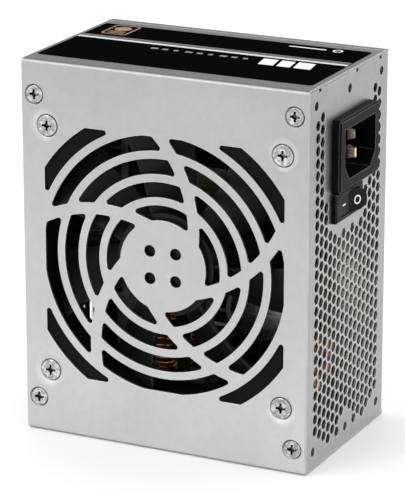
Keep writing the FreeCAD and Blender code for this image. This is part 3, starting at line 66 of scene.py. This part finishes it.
class Look:
    """A procedural material on one principled shader, with short calls for the nodes it is built from."""

    def __init__(self, name, roughness=0.5, metallic=0.0, coat=0.0, specular=0.5):
        self.material = bpy.data.materials.new(name)
        self.material.use_nodes = True
        self.tree = self.material.node_tree
        self.shader = self.tree.nodes["Principled BSDF"]
        self.shader.inputs["Metallic"].default_value = metallic
        self.shader.inputs["Roughness"].default_value = roughness
        self.shader.inputs["Coat Weight"].default_value = coat
        self.shader.inputs["Specular IOR Level"].default_value = specular
        self.place = self.node("TexCoord").outputs["Object"]

    def node(self, kind, inputs=None, **settings):
        made = self.tree.nodes.new("ShaderNode" + kind)
        for key, value in settings.items():
            setattr(made, key, value)
        for socket, value in (inputs or {}).items():
            if isinstance(value, bpy.types.NodeSocket):
                self.tree.links.new(value, made.inputs[socket])
            else:
                made.inputs[socket].default_value = value
        return made

    def set(self, socket, value):
        self.tree.links.new(value, self.shader.inputs[socket])

    def noise(self, scale, detail=4.0, stretch=(1.0, 1.0, 1.0)):
        """Noise over the object; scale is in cells per metre."""
        mapped = self.node("Mapping", {"Vector": self.place, "Scale": stretch}).outputs["Vector"]
        return self.node("TexNoise", {"Vector": mapped, "Scale": scale, "Detail": detail}).outputs["Fac"]

    def cells(self, scale):
        """Random grey value of each voronoi cell."""
        cell = self.node("TexVoronoi", {"Vector": self.place, "Scale": scale})
        return self.node("SeparateColor", {"Color": cell.outputs["Color"]}).outputs[0]

    def math(self, operation, first, second=0.0):
        return self.node("Math", {0: first, 1: second}, operation=operation).outputs[0]

    def span(self, value, low, high, start=0.0, end=1.0):
        """Map low..high of a value to start..end, clamped."""
        return self.node("MapRange", {"Value": value, "From Min": low, "From Max": high, "To Min": start,
                                      "To Max": end}).outputs["Result"]

    def blend(self, share, first, second):
        mixer = self.node("Mix", data_type="RGBA")
        for socket, value in ((mixer.inputs[0], share), (mixer.inputs[6], first), (mixer.inputs[7], second)):
            if isinstance(value, bpy.types.NodeSocket):
                self.tree.links.new(value, socket)
            else:
                is_tone = hasattr(value, "__len__") and len(value) == 3
                socket.default_value = (*value, 1.0) if is_tone else value
        return mixer.outputs[2]

    def scaled(self, tone, factor):
        return self.node("VectorMath", {0: tone, "Scale": factor}, operation="SCALE").outputs["Vector"]

    def axis(self, letter):
        return self.node("SeparateXYZ", {"Vector": self.place}).outputs[letter]

    def edges(self, radius, low, high):
        """Nearness to a sharp edge: how far the rounded normal leans from the true one."""
        rounded = self.node("Bevel", {"Radius": radius}, samples=4).outputs["Normal"]
        true = self.node("NewGeometry").outputs["True Normal"]
        lean = self.node("VectorMath", {0: rounded, 1: true}, operation="DOT_PRODUCT").outputs["Value"]
        return self.span(self.math("SUBTRACT", 1.0, lean), low, high)

    def crevice(self, distance):
        """Share of the near surroundings that close a point in, from 0 in the open to 1 in a groove."""
        shade = self.node("AmbientOcclusion", {"Distance": distance}, samples=8, only_local=False)
        return self.span(shade.outputs["AO"], 0.25, 0.75, 1.0, 0.0)

    def relief(self, height, distance, strength=1.0, soft_edge=0.0):
        """Bump from a height in 0..1 over a distance in metres, on edges softened by a radius."""
        inputs = {"Height": height, "Distance": distance, "Strength": strength}
        if soft_edge:
            inputs["Normal"] = self.node("Bevel", {"Radius": soft_edge}, samples=4).outputs["Normal"]
        self.set("Normal", self.node("Bump", inputs).outputs["Normal"])


def steel_sheet():
    """Galvanised sheet with faint spangle, rolling streaks, a painted highlight on the edges and painted shade
    in crevices.

    Its tone is also set by the place on the case, to match the photo: painted light and shade make it paler
    low down and darker upwards, painted shade darkens the rear panel, the top and the inside, and a painted
    highlight makes it paler in a ring round each fan screw.
    """
    look = Look("galvanised steel", metallic=1.0)
    spangle = look.cells(520.0)
    streaks = look.noise(900.0, 3.0, (1.0, 1.0, 0.06))
    cloud = look.noise(28.0, 3.0)
    tone = look.blend(look.span(cloud, 0.3, 0.7), (0.455, 0.455, 0.457), (0.505, 0.505, 0.507))
    tone = look.blend(look.span(spangle, 0.0, 1.0, 0.0, 0.14), tone, (0.37, 0.37, 0.37))
    tone = look.blend(look.span(streaks, 0.35, 0.65, 0.0, 0.10), tone, (0.60, 0.60, 0.60))
    # Painted light and shade by height: paler near the floor, darker towards the top
    height = look.span(look.axis("Z"), 0.0, case_top)
    tone = look.blend(height, look.scaled(tone, 1.24), look.scaled(tone, 0.88))
    # Painted shade on the rear panel
    rear_panel_shade = look.span(look.axis("X"), rear_face - 0.4 * MM, rear_face - 0.1 * MM, 0.0, 0.42)
    tone = look.blend(rear_panel_shade, tone, (0.20, 0.20, 0.20))
    # Painted shade on the top
    top_shade = look.span(look.axis("Z"), case_top - 0.3 * MM, case_top - 0.05 * MM, 0.0, 0.82)
    tone = look.blend(top_shade, tone, (0.055, 0.055, 0.055))
    inside = 1.0
    # Painted shade on the inside faces of the case.
    # Each row: an axis, two places on it, and the share of inside at each
    for letter, low, high, low_share, high_share in (
        ("X", rear_face - 1.0 * MM, rear_face - 0.75 * MM, 1.0, 0.0),
        ("Y", fan_face + 0.65 * MM, fan_face + 0.75 * MM, 0.0, 1.0),
        ("Z", case_top - 0.8 * MM, case_top - 0.6 * MM, 0.6, 0.0),
        ("Y", -fan_face - 0.8 * MM, -fan_face - 0.6 * MM, 1.0, 0.0),
        ("X", case_low.x + 0.6 * MM, case_low.x + 0.75 * MM, 0.0, 1.0),
        ("Z", 0.6 * MM, 0.75 * MM, 0.0, 1.0),
    ):
        within = look.span(look.axis(letter), low, high, low_share, high_share)
        inside = look.math("MULTIPLY", inside, within)
    tone = look.blend(inside, tone, (0.03, 0.03, 0.03))
    from_middle = look.math("ABSOLUTE", look.math("SUBTRACT", look.axis("Z"), case_top / 2))
    screw_x = look.math("SUBTRACT", look.math("ABSOLUTE", look.axis("X")), fan_screw.x)
    screw_z = look.math("SUBTRACT", from_middle, fan_screw.z - case_top / 2)
    from_screw = look.math("SQRT", look.math("ADD", look.math("MULTIPLY", screw_x, screw_x),
                                             look.math("MULTIPLY", screw_z, screw_z)))
    # Painted highlight: a paler ring round each fan screw on the fan face
    on_fan_side = look.math("LESS_THAN", look.axis("Y"), fan_face + 1.5 * MM)
    screw_ring_highlight = look.math("MULTIPLY", on_fan_side, look.span(from_screw, HALO_INNER, HALO_OUTER, 0.30, 0.0))
    tone = look.blend(screw_ring_highlight, tone, PAINTED_HIGHLIGHT_TONE)
    # Painted highlight on every sharp edge
    tone = look.blend(look.edges(0.0003, 0.02, 0.20), tone, PAINTED_HIGHLIGHT_TONE)
    # Painted shade in crevices, weaker near the mounting holes
    away_from_mounts = look.math("LESS_THAN", from_middle, case_top / 2 - MOUNT_MARGIN)
    shade = look.math("MULTIPLY", look.crevice(0.0014), look.span(away_from_mounts, 0.0, 1.0, 0.1, 1.0))
    look.set("Base Color", look.blend(shade, tone, (0.02, 0.02, 0.02)))
    sheen = look.math("ADD", look.math("MULTIPLY", spangle, 0.35), streaks)
    look.set("Roughness", look.span(sheen, 0.3, 1.0, 0.36, 0.47))
    look.relief(look.math("ADD", streaks, look.math("MULTIPLY", spangle, 0.5)), 0.00002, 0.35, 0.00022)
    return look.material


def screw_steel():
    """Zinc plated screw heads: grey grain, a painted highlight on the rims, and painted shade in the drive and
    round the rim.
    """
    look = Look("plated screw", metallic=1.0)
    marks = look.noise(2600.0, 2.0)
    grain = look.noise(900.0, 4.0)
    tone = look.blend(look.span(marks, 0.35, 0.65), (0.22, 0.22, 0.22), (0.44, 0.44, 0.44))
    tone = look.blend(look.span(grain, 0.45, 0.62, 0.0, 0.75), tone, (0.74, 0.74, 0.74))
    # Painted highlight on the rims
    tone = look.blend(look.edges(0.00018, 0.015, 0.12), tone, (0.97, 0.97, 0.97))
    # Painted shade in the drive and round the rim
    look.set("Base Color", look.blend(look.crevice(0.0022), tone, (0.006, 0.006, 0.006)))
    look.set("Roughness", look.span(marks, 0.3, 0.7, 0.22, 0.36))
    look.relief(marks, 0.00002, 0.3, 0.00008)
    return look.material


def moulded(name, dark, pale, roughness, grain=1800.0, depth=0.00003, soft_edge=0.0002, coat=0.0,
            specular=0.3, edge=None):
    """Moulded plastic with a fine grained skin, a slight change of tone and, if given, a painted highlight on
    the edges.
    """
    look = Look(name, coat=coat, specular=specular)
    skin = look.noise(grain, 4.0)
    cloud = look.noise(60.0, 3.0)
    tone = look.blend(look.span(cloud, 0.3, 0.7), dark, pale)
    if edge:
        # Painted highlight on the sharp edges, in the edge tone
        tone = look.blend(look.edges(soft_edge, 0.03, 0.16), tone, edge)
    look.set("Base Color", tone)
    look.set("Roughness", look.span(skin, 0.3, 0.7, roughness - 0.06, roughness + 0.08))
    look.relief(skin, depth, 0.4, soft_edge)
    return look.material


def metal(name, dark, pale, low, high, grain=1500.0, stretch=(1.0, 1.0, 1.0), soft_edge=0.00015):
    """Bare metal with drawn or turned grain."""
    look = Look(name, metallic=1.0)
    marks = look.noise(grain, 3.0, stretch)
    look.set("Base Color", look.blend(look.span(marks, 0.3, 0.7), dark, pale))
    look.set("Roughness", look.span(marks, 0.3, 0.7, low, high))
    look.relief(marks, 0.00002, 0.3, soft_edge)
    return look.material


def pin_look():
    """Gold plated pins, darkened by painted shade towards the floor of the plug cavity."""
    look = Look("plated pins", metallic=1.0)
    marks = look.noise(1800.0, 3.0, (0.1, 1.0, 1.0))
    tone = look.blend(look.span(marks, 0.3, 0.7), (0.78, 0.62, 0.40), (0.96, 0.84, 0.62))
    # Painted shade deeper in the plug cavity, away from the pin tips
    depth = look.span(look.axis("X"), rear_face - 4.4 * MM, rear_face - 2.6 * MM, 1.0, 0.0)
    look.set("Base Color", look.blend(depth, tone, (0.06, 0.045, 0.025)))
    look.set("Roughness", look.span(marks, 0.3, 0.7, 0.22, 0.36))
    look.relief(marks, 0.00002, 0.3, 0.00015)
    return look.material


def circuit_board():
    """Brown laminate, darkened overall by painted shade inside the case, with darker printed tracks."""
    look = Look("circuit board")
    fibre = look.noise(2200.0, 4.0)
    tracks = look.node("TexVoronoi", {"Vector": look.place, "Scale": 160.0}, distance="MANHATTAN")
    lines = look.span(tracks.outputs["Distance"], 0.28, 0.31)
    tone = look.blend(look.span(fibre, 0.3, 0.7), (0.09, 0.065, 0.03), (0.13, 0.10, 0.05))
    look.set("Base Color", look.blend(look.math("MULTIPLY", lines, 0.4), tone, (0.05, 0.038, 0.016)))
    look.set("Roughness", look.span(fibre, 0.3, 0.7, 0.42, 0.58))
    look.relief(lines, 0.00004, 0.5, 0.0001)
    return look.material


def can_look(name, node, sleeve, stripe):
    """Electrolytic can: printed plastic sleeve with a pale polarity stripe and a bare aluminium top."""
    low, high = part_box(node)
    middle = (low + high) / 2
    look = Look(name)
    offset_x = look.math("SUBTRACT", look.axis("X"), middle.x)
    offset_z = look.math("SUBTRACT", look.axis("Z"), middle.z)
    radius = (high.x - low.x) / 2
    distance = look.math("SQRT", look.math("ADD", look.math("POWER", offset_x, 2.0),
                                           look.math("POWER", offset_z, 2.0)))
    bare = look.math("MULTIPLY", look.math("LESS_THAN", distance, radius * 0.86),
                     look.math("LESS_THAN", look.axis("Y"), low.y + 0.8 * MM))
    on_stripe = look.math("LESS_THAN", offset_x, -radius * 0.8)
    wear = look.noise(700.0, 3.0)
    tone = look.blend(look.span(wear, 0.3, 0.7), sleeve, tuple(0.8 * part for part in sleeve))
    tone = look.blend(on_stripe, tone, stripe)
    look.set("Base Color", look.blend(bare, tone, (0.34, 0.34, 0.34)))
    look.set("Metallic", bare)
    look.set("Roughness", look.span(wear, 0.3, 0.7, 0.24, 0.36))
    look.relief(wear, 0.00002, 0.3, 0.0003)
    return look.material


def enamel_wire(name, dark, pale):
    """Enamelled copper: orange metal under a clear coat."""
    look = Look(name, metallic=1.0, coat=0.5)
    wear = look.noise(900.0, 3.0)
    look.set("Base Color", look.blend(look.span(wear, 0.3, 0.7), dark, pale))
    look.set("Roughness", look.span(wear, 0.3, 0.7, 0.22, 0.36))
    look.relief(wear, 0.00002, 0.3)
    return look.material


def label_black():
    """Printed black film: deep black, satin, with a faint orange peel."""
    look = Look("label film", specular=0.0)
    peel = look.noise(1400.0, 2.0)
    tone = look.blend(look.span(peel, 0.3, 0.7), (0.0015, 0.0015, 0.0018), (0.0035, 0.0035, 0.004))
    look.set("Base Color", tone)
    look.set("Roughness", look.span(peel, 0.3, 0.7, 0.38, 0.48))
    look.relief(peel, 0.00001, 0.3)
    return look.material


def print_ink(name, dark, pale, metallic=0.0, roughness=0.4):
    """Printed ink or foil, a little uneven."""
    look = Look(name, metallic=metallic)
    speckle = look.noise(2600.0, 3.0)
    look.set("Base Color", look.blend(look.span(speckle, 0.35, 0.65), dark, pale))
    look.set("Roughness", look.span(speckle, 0.3, 0.7, roughness - 0.05, roughness + 0.08))
    look.relief(speckle, 0.00001, 0.2)
    return look.material


def tape_look():
    """Yellow tape, darkened overall by painted shade inside the case, with lap lines and a slight gloss."""
    look = Look("winding tape", coat=0.25)
    laps = look.node("TexWave", {"Vector": look.place, "Scale": 160.0, "Distortion": 0.6, "Detail": 1.0},
                     bands_direction="Z").outputs["Fac"]
    look.set("Base Color", look.blend(look.span(laps, 0.2, 0.8), (0.05, 0.038, 0.012), (0.09, 0.07, 0.025)))
    look.set("Roughness", look.span(laps, 0.2, 0.8, 0.28, 0.42))
    look.relief(laps, 0.00006, 0.5, 0.0002)
    return look.material


def glass_look():
    """Clear fuse tube with metal end caps."""
    low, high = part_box("fuse")
    middle = (low.z + high.z) / 2
    half = (high.z - low.z) / 2
    look = Look("fuse glass", roughness=0.05)
    from_middle = look.math("ABSOLUTE", look.math("SUBTRACT", look.axis("Z"), middle))
    ends = look.math("GREATER_THAN", from_middle, half - 5 * MM)
    look.set("Base Color", look.blend(ends, (0.9, 0.93, 0.93), (0.78, 0.76, 0.72)))
    look.set("Metallic", ends)
    look.set("Transmission Weight", look.math("SUBTRACT", 1.0, ends))
    return look.material


LOOKS = {
    "steel": steel_sheet(),
    "screw": screw_steel(),
    "label": label_black(),
    "fan_frame": moulded("fan frame plastic", (0.0035, 0.0035, 0.0035), (0.007, 0.007, 0.007), 0.52,
                         specular=0.05),
    "blades": moulded("fan blade plastic", (0.005, 0.005, 0.005), (0.010, 0.010, 0.010), 0.34, 900.0,
                      specular=0.14),
    # The edge tones of the inlet, switch and rocker are painted highlights
    "inlet": moulded("inlet plastic", (0.002, 0.002, 0.002), (0.005, 0.005, 0.005), 0.40, soft_edge=0.0003,
                     specular=0.04, edge=(0.30, 0.30, 0.30)),
    "switch": moulded("switch plastic", (0.002, 0.002, 0.002), (0.005, 0.005, 0.005), 0.36, soft_edge=0.0003,
                      specular=0.04, edge=(0.22, 0.22, 0.22)),
    "rocker": moulded("rocker plastic", (0.003, 0.003, 0.003), (0.007, 0.007, 0.007), 0.34, specular=0.06,
                      edge=(0.10, 0.10, 0.10)),
    "pin": pin_look(),
    "brass": metal("turned brass", (0.62, 0.47, 0.22), (0.80, 0.65, 0.36), 0.25, 0.40),
    "shaft": metal("ground shaft", (0.60, 0.60, 0.60), (0.75, 0.75, 0.75), 0.15, 0.28),
    "aluminium": metal("anodised aluminium", (0.10, 0.10, 0.105), (0.16, 0.16, 0.165), 0.34, 0.48,
                       1500.0, (1.0, 0.05, 1.0)),
    "laminations": metal("steel laminations", (0.28, 0.28, 0.29), (0.50, 0.50, 0.52), 0.35, 0.5,
                         2500.0, (0.05, 1.0, 0.05)),
    "board": circuit_board(),
    "film": moulded("insulating film", (0.02, 0.02, 0.02), (0.035, 0.035, 0.035), 0.40),
    "ferrite": moulded("ferrite", (0.014, 0.014, 0.015), (0.026, 0.026, 0.028), 0.60, 2600.0, 0.00006,
                       specular=0.15),
    "tape": tape_look(),
    "line_core": moulded("green core", (0.030, 0.12, 0.055), (0.05, 0.17, 0.08), 0.35, coat=0.3),
    "powder_core": moulded("powder core", (0.03, 0.03, 0.032), (0.05, 0.05, 0.053), 0.45),
    "copper": enamel_wire("enamelled copper", (0.62, 0.22, 0.07), (0.92, 0.42, 0.15)),
    "capacitor_box": moulded("capacitor box", (0.11, 0.10, 0.065), (0.17, 0.155, 0.10), 0.32),
    "disc_blue": moulded("blue dip", (0.03, 0.10, 0.36), (0.06, 0.17, 0.50), 0.25, 300.0, 0.0001, coat=0.5),
    "disc_dark": moulded("green dip", (0.02, 0.06, 0.03), (0.05, 0.10, 0.05), 0.30, 300.0, 0.0001, coat=0.4),
    "epoxy": moulded("chip epoxy", (0.016, 0.016, 0.016), (0.030, 0.030, 0.030), 0.55),
    "glass": glass_look(),
    "lead_black": moulded("black lead", (0.012, 0.012, 0.012), (0.022, 0.022, 0.022), 0.42, 900.0),
    "lead_red": moulded("red lead", (0.40, 0.02, 0.015), (0.52, 0.035, 0.025), 0.40, 900.0),
    "lead_green": moulded("green lead", (0.10, 0.30, 0.04), (0.16, 0.40, 0.06), 0.40, 900.0),
    "nylon": moulded("black nylon", (0.016, 0.016, 0.016), (0.026, 0.026, 0.026), 0.38),
    "rubber": moulded("grommet rubber", (0.014, 0.014, 0.014), (0.024, 0.024, 0.024), 0.66, 1200.0, 0.00006),
    "bulk_can": can_look("large can", "bulk_capacitor", (0.010, 0.010, 0.012), (0.22, 0.22, 0.22)),
}

NODE_LOOKS = {
    "steel": ["cover", "base_shell"], "screw": ["case_screws", "fan_screws", "board_screws"],
    "label": ["label_sticker"], "fan_frame": ["fan_frame"], "blades": ["fan_rotor"],
    "inlet": ["inlet_housing"], "switch": ["switch_housing"], "rocker": ["rocker"],
    "pin": ["inlet_pin_line", "inlet_pin_neutral", "inlet_pin_earth"],
    "brass": ["switch_terminals", "fuse_clips", "board_standoffs", "fan_bearing"], "shaft": ["fan_shaft"],
    "aluminium": ["primary_heatsink", "secondary_heatsink"],
    "laminations": ["fan_stator_core", "fan_magnet_ring"],
    "board": ["main_board", "fan_board", "supervisor_board"], "film": ["insulation_sheet"],
    "ferrite": ["main_transformer_core", "standby_transformer_core"],
    "tape": ["main_transformer_winding", "standby_transformer_winding"],
    "line_core": ["line_choke_core"], "powder_core": ["output_choke_core"], "copper": ["fan_windings"],
    "capacitor_box": ["x_capacitor_1", "x_capacitor_2"], "disc_blue": ["y_capacitors", "varistor"],
    "disc_dark": ["thermistor"],
    "epoxy": ["power_transistors", "output_rectifiers", "bridge_rectifier", "supervisor_chip", "optocouplers"],
    "glass": ["fuse"], "lead_black": ["neutral_lead", "fan_lead"], "lead_red": ["line_lead", "switched_lead"],
    "lead_green": ["earth_lead"], "nylon": ["fan_connector"], "rubber": ["cable_grommet"],
    "bulk_can": ["bulk_capacitor"],
}


def dress(piece, material):
    piece.data.materials.clear()
    piece.data.materials.append(material)


for look_name, names in NODE_LOOKS.items():
    for node_name in names:
        dress(nodes[node_name], LOOKS[look_name])
for number in range(1, 5):
    name = f"output_capacitor_{number}"
    dress(nodes[name], can_look(f"small can {number}", name, (0.025, 0.03, 0.05), (0.70, 0.60, 0.25)))


# Pieces built in mesh code

def add_mesh(name, vertices, faces, material, body="case"):
    mesh = bpy.data.meshes.new(name)
    mesh.from_pydata(vertices, [], faces)
    mesh.update()
    piece = bpy.data.objects.new(name, mesh)
    bpy.context.scene.collection.objects.link(piece)
    dress(piece, material)
    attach(piece, body)


def plate(name, outline, low, high, to_space, material, body="case", slot=None):
    """A thin flat piece from a 2-D outline, between two levels; to_space turns (u, v, level) into a point."""
    count = len(outline)
    vertices = [to_space(u, w, level) for level in (low, high) for u, w in outline]
    faces = [tuple(range(count))[::-1], tuple(range(count, 2 * count))]
    faces += [(k, (k + 1) % count, count + (k + 1) % count, count + k) for k in range(count)]
    add_mesh(name, vertices, faces, material, body)


def rounded_rectangle(low_u, low_v, high_u, high_v, corner, steps=5):
    points = []
    for centre_u, centre_v, start in (
        (high_u - corner, high_v - corner, 0), (low_u + corner, high_v - corner, 90),
        (low_u + corner, low_v + corner, 180), (high_u - corner, low_v + corner, 270),
    ):
        for step in range(steps + 1):
            angle = math.radians(start + 90 * step / steps)
            points.append((centre_u + corner * math.cos(angle), centre_v + corner * math.sin(angle)))
    return points


def ring_mesh(name, outer, inner, low, high, to_space, material, body="case", slot=None):
    """A flat ring, round or of any two outlines with the same number of points."""
    count = len(outer)
    loops = [(outer, low), (outer, high), (inner, high), (inner, low)]
    vertices = [to_space(u, w, level) for outline, level in loops for u, w in outline]
    faces = []
    for loop in range(4):
        after = (loop + 1) % 4
        for k in range(count):
            n = (k + 1) % count
            faces.append((loop * count + k, loop * count + n, after * count + n, after * count + k))
    add_mesh(name, vertices, faces, material, body)


def circle(centre_u, centre_v, radius, steps=40):
    angles = [math.tau * k / steps for k in range(steps)]
    return [(centre_u + radius * math.cos(angle), centre_v + radius * math.sin(angle)) for angle in angles]


# Printed marks on the label: plain shapes in the places of the real one's print, in millimetres

PRINT_LEVELS = (0.0, 0.02)
PRINT_MARGIN = 0.1
BLOCK_LOW = -6.4
BLOCK_HIGH = 1.1
BLOCK_SLANT = 1.2
DASH_START = -19.0
DASH_PITCH = 4.1
DASH_LENGTH = 2.6
SILVER = print_ink("silver print", (0.55, 0.55, 0.56), (0.72, 0.72, 0.73), 0.6, 0.3)
GREY = print_ink("grey print", (0.10, 0.10, 0.105), (0.15, 0.15, 0.155))
WHITE = print_ink("white print", (0.72, 0.72, 0.72), (0.82, 0.82, 0.82))
BRONZE = print_ink("bronze print", (0.20, 0.075, 0.03), (0.32, 0.13, 0.055), 0.3, 0.4)

label_low, label_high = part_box("label_sticker")
print_left = label_low.x / MM + PRINT_MARGIN
print_right = label_high.x / MM - PRINT_MARGIN


def on_label(u, w, level):
    return (u * MM, w * MM, label_high.z + level * MM)


def print_bar(name, low_u, low_v, high_u, high_v, ink, corner=0.2):
    outline = rounded_rectangle(low_u, low_v, high_u, high_v, corner, 3)
    plate(name, outline, *PRINT_LEVELS, on_label, ink, slot="label_print")


print_bar("label_silver_stripe", print_left, 2.9, print_right, 4.7, SILVER)
print_bar("label_grey_line_lower", print_left, 5.4, print_right, 6.2, GREY)
print_bar("label_grey_line_upper", print_left, 6.7, print_right, 7.3, GREY)
for index, (start, width) in enumerate(((21.0, 5.2), (27.4, 4.6), (33.2, 5.8))):
    end = start + width
    outline = [(start, BLOCK_LOW), (end, BLOCK_LOW), (end - BLOCK_SLANT, BLOCK_HIGH),
               (start - BLOCK_SLANT, BLOCK_HIGH)]
    plate(f"label_block_{index + 1}", outline, *PRINT_LEVELS, on_label, WHITE, slot="label_print")
for index in range(9):
    start = DASH_START + index * DASH_PITCH
    end = start + DASH_LENGTH - 0.5 * (index % 3)
    print_bar(f"label_dash_{index + 1}", start, -2.6, end, -0.9, GREY, 0.4)
print_bar("label_small_bar", 20.0, 19.6, 33.0, 20.6, WHITE, 0.3)
ring_mesh("label_small_ring", circle(37.0, 20.2, 1.7), circle(37.0, 20.2, 1.1), *PRINT_LEVELS, on_label,
          WHITE, slot="label_print")
ring_mesh("label_badge_frame", rounded_rectangle(-44.0, 10.0, -34.6, 23.0, 1.6),
          rounded_rectangle(-43.3, 10.7, -35.3, 22.3, 1.1), *PRINT_LEVELS, on_label, BRONZE,
          slot="label_print")
plate("label_badge_disc", circle(-39.3, 18.0, 2.9), *PRINT_LEVELS, on_label, BRONZE, slot="label_print")
for index, level in enumerate((11.8, 13.5)):
    print_bar(f"label_badge_bar_{index + 1}", -42.2, level, -36.4, level + 0.9, BRONZE, 0.3)


# Marks on the rocker: the plain on bar and off ring, each on its own half

MARK_LEVELS = (0.005, 0.03)
VALLEY_MARGIN = 2 * MM

rocker_joint = next(joint for joint in frame["joints"] if joint["name"] == "rocker_tilt")
pivot = Vector(rocker_joint["pos_m"])
full_tilt = math.radians(rocker_joint["range_deg"][1])
rocker = nodes["rocker"]
rocker_corners = [rocker.matrix_world @ vertex.co for vertex in rocker.data.vertices]
pressed_face = max(corner.x for corner in rocker_corners if corner.y < pivot.y - VALLEY_MARGIN)
valley = Vector((pressed_face, pivot.y - (pressed_face - pivot.x) * math.tan(full_tilt / 2), pivot.z))


def on_rocker(side):
    """Place on one half of the rocker: u runs out from the valley, w up, level out of the face."""
    slope = 0.0 if side < 0 else full_tilt
    run = Vector((math.sin(slope), side * math.cos(slope), 0.0))
    out = Vector((math.cos(slope), -side * math.sin(slope), 0.0))
    return lambda u, w, level: tuple(valley + run * (u * MM) + Vector((0, 0, w * MM)) + out * (level * MM))


plate("rocker_mark_on", rounded_rectangle(2.4, -0.25, 4.7, 0.25, 0.12, 3), *MARK_LEVELS, on_rocker(-1), WHITE,
      "rocker", "rocker_plastic")
ring_mesh("rocker_mark_off", circle(4.1, 0.0, 1.5), circle(4.1, 0.0, 1.05), *MARK_LEVELS, on_rocker(1), WHITE,
          "rocker", "rocker_plastic")


# Wound parts: each turn of wire round the ring core

WIRE_STEPS = 28
GAP_DEGREES = 14
SQUARENESS = 0.5


def squared(wave):
    """Push a wave out towards its ends, so that a turn follows the core's square section."""
    return math.copysign(abs(wave) ** SQUARENESS, wave)


def wound_turns(name, node, core, turns, wire, bore_share):
    """Two windings of round wire laid turn by turn on the two halves of a standing ring core."""
    core_low, core_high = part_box(core)
    centre = (core_low + core_high) / 2
    outer = (core_high.y - core_low.y) / 2
    inner = outer * bore_share
    ring_radius = (outer + inner) / 2
    half_height = (outer - inner) / 2 + wire
    half_width = (core_high.x - core_low.x) / 2 + wire
    curve = bpy.data.curves.new(name, "CURVE")
    curve.dimensions = "3D"
    curve.bevel_depth = wire
    curve.bevel_resolution = 3
    curve.use_fill_caps = True
    last = turns * WIRE_STEPS
    sweep = math.radians(180 - 2 * GAP_DEGREES)
    for half in (0, 1):
        line = curve.splines.new("POLY")
        line.points.add(last)
        start = math.radians(180 * half + GAP_DEGREES)
        for k in range(last + 1):
            round_ring = start + sweep * (k / last)
            round_wire = math.tau * turns * (k / last)
            across = squared(math.cos(round_wire)) * half_height
            beside = squared(math.sin(round_wire)) * half_width
            reach = ring_radius + across
            line.points[k].co = (centre.x + beside, centre.y + reach * math.sin(round_ring),
                                 centre.z + reach * math.cos(round_ring), 1.0)
    holder = bpy.data.objects.new(name + "_curve", curve)
    bpy.context.scene.collection.objects.link(holder)
    mesh = bpy.data.meshes.new_from_object(holder.evaluated_get(bpy.context.evaluated_depsgraph_get()))
    mesh.name = name
    bpy.data.objects.remove(holder)
    piece = bpy.data.objects.new(name, mesh)
    bpy.context.scene.collection.objects.link(piece)
    for polygon in mesh.polygons:
        polygon.use_smooth = True
    dress(piece, LOOKS["copper"])
    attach(piece, "case")
    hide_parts(node)


wound_turns("line_choke_turns", "line_choke_winding", "line_choke_core", 13, 0.62 * MM, 0.5)
wound_turns("output_choke_turns", "output_choke_winding", "output_choke_core", 14, 0.75 * MM, 0.54)


# Floor, light and camera

FLOOR_REACH = 6.0
FLOOR_DROP = 0.0002
WORLD_STRENGTH = 1.08
CAMERA_PLACE = Vector((0.3927, -0.8082, 0.3413))
AZIMUTH = math.radians(25.92)
ELEVATION = math.radians(17.15)
LENS = 209.5
SENSOR_WIDTH = 36.0
SHIFT_X = -0.0075
SHIFT_Y = -0.0254


def floor_look():
    look = Look("pale floor", roughness=0.6, specular=0.2)
    grain = look.noise(6.0, 3.0)
    look.set("Base Color", look.blend(look.span(grain, 0.3, 0.7), (0.93, 0.93, 0.93), (0.96, 0.96, 0.96)))
    return look.material


floor_mesh = bpy.data.meshes.new("floor")
floor_corners = [(x * FLOOR_REACH, y * FLOOR_REACH, 0) for x, y in ((-1, -1), (1, -1), (1, 1), (-1, 1))]
floor_mesh.from_pydata(floor_corners, [], [(0, 1, 2, 3)])
floor = bpy.data.objects.new("floor", floor_mesh)
bpy.context.scene.collection.objects.link(floor)
floor.location.z = -FLOOR_DROP
dress(floor, floor_look())


def area_light(name, place, target, size, power):
    """A rectangular light aimed at a target; lengths in metres, power in watts."""
    light = bpy.data.lights.new(name, "AREA")
    light.shape = "RECTANGLE"
    light.size, light.size_y = size
    light.energy = power
    holder = bpy.data.objects.new(name, light)
    bpy.context.scene.collection.objects.link(holder)
    holder.location = place
    holder.rotation_euler = (Vector(target) - Vector(place)).to_track_quat("-Z", "Y").to_euler()


middle = (0.0, 0.0, case_top / 2)
area_light("key", (-0.7, -1.1, 1.3), middle, (1.2, 1.2), 7.0)
area_light("right_fill", (1.5, 0.2, 0.7), middle, (1.0, 1.4), 3.0)
area_light("back_rim", (0.3, 1.5, 1.2), middle, (1.6, 0.8), 4.0)

world = bpy.data.worlds.new("studio")
world.use_nodes = True
sky = world.node_tree.nodes["Background"]
sky.inputs["Color"].default_value = (1.0, 1.0, 1.0, 1.0)
sky.inputs["Strength"].default_value = WORLD_STRENGTH
bpy.context.scene.world = world
bpy.context.scene.view_settings.view_transform = "Standard"

camera_data = bpy.data.cameras.new("camera")
camera_data.lens = LENS
camera_data.sensor_width = SENSOR_WIDTH
camera_data.shift_x = SHIFT_X
camera_data.shift_y = SHIFT_Y
camera_data.clip_start = 0.05
camera_data.clip_end = 50.0
camera = bpy.data.objects.new("camera", camera_data)
bpy.context.scene.collection.objects.link(camera)
camera.location = CAMERA_PLACE
level_share = math.cos(ELEVATION)
ahead = Vector((-math.sin(AZIMUTH) * level_share, math.cos(AZIMUTH) * level_share, -math.sin(ELEVATION)))
camera.rotation_euler = ahead.to_track_quat("-Z", "Y").to_euler()
bpy.context.scene.camera = camera
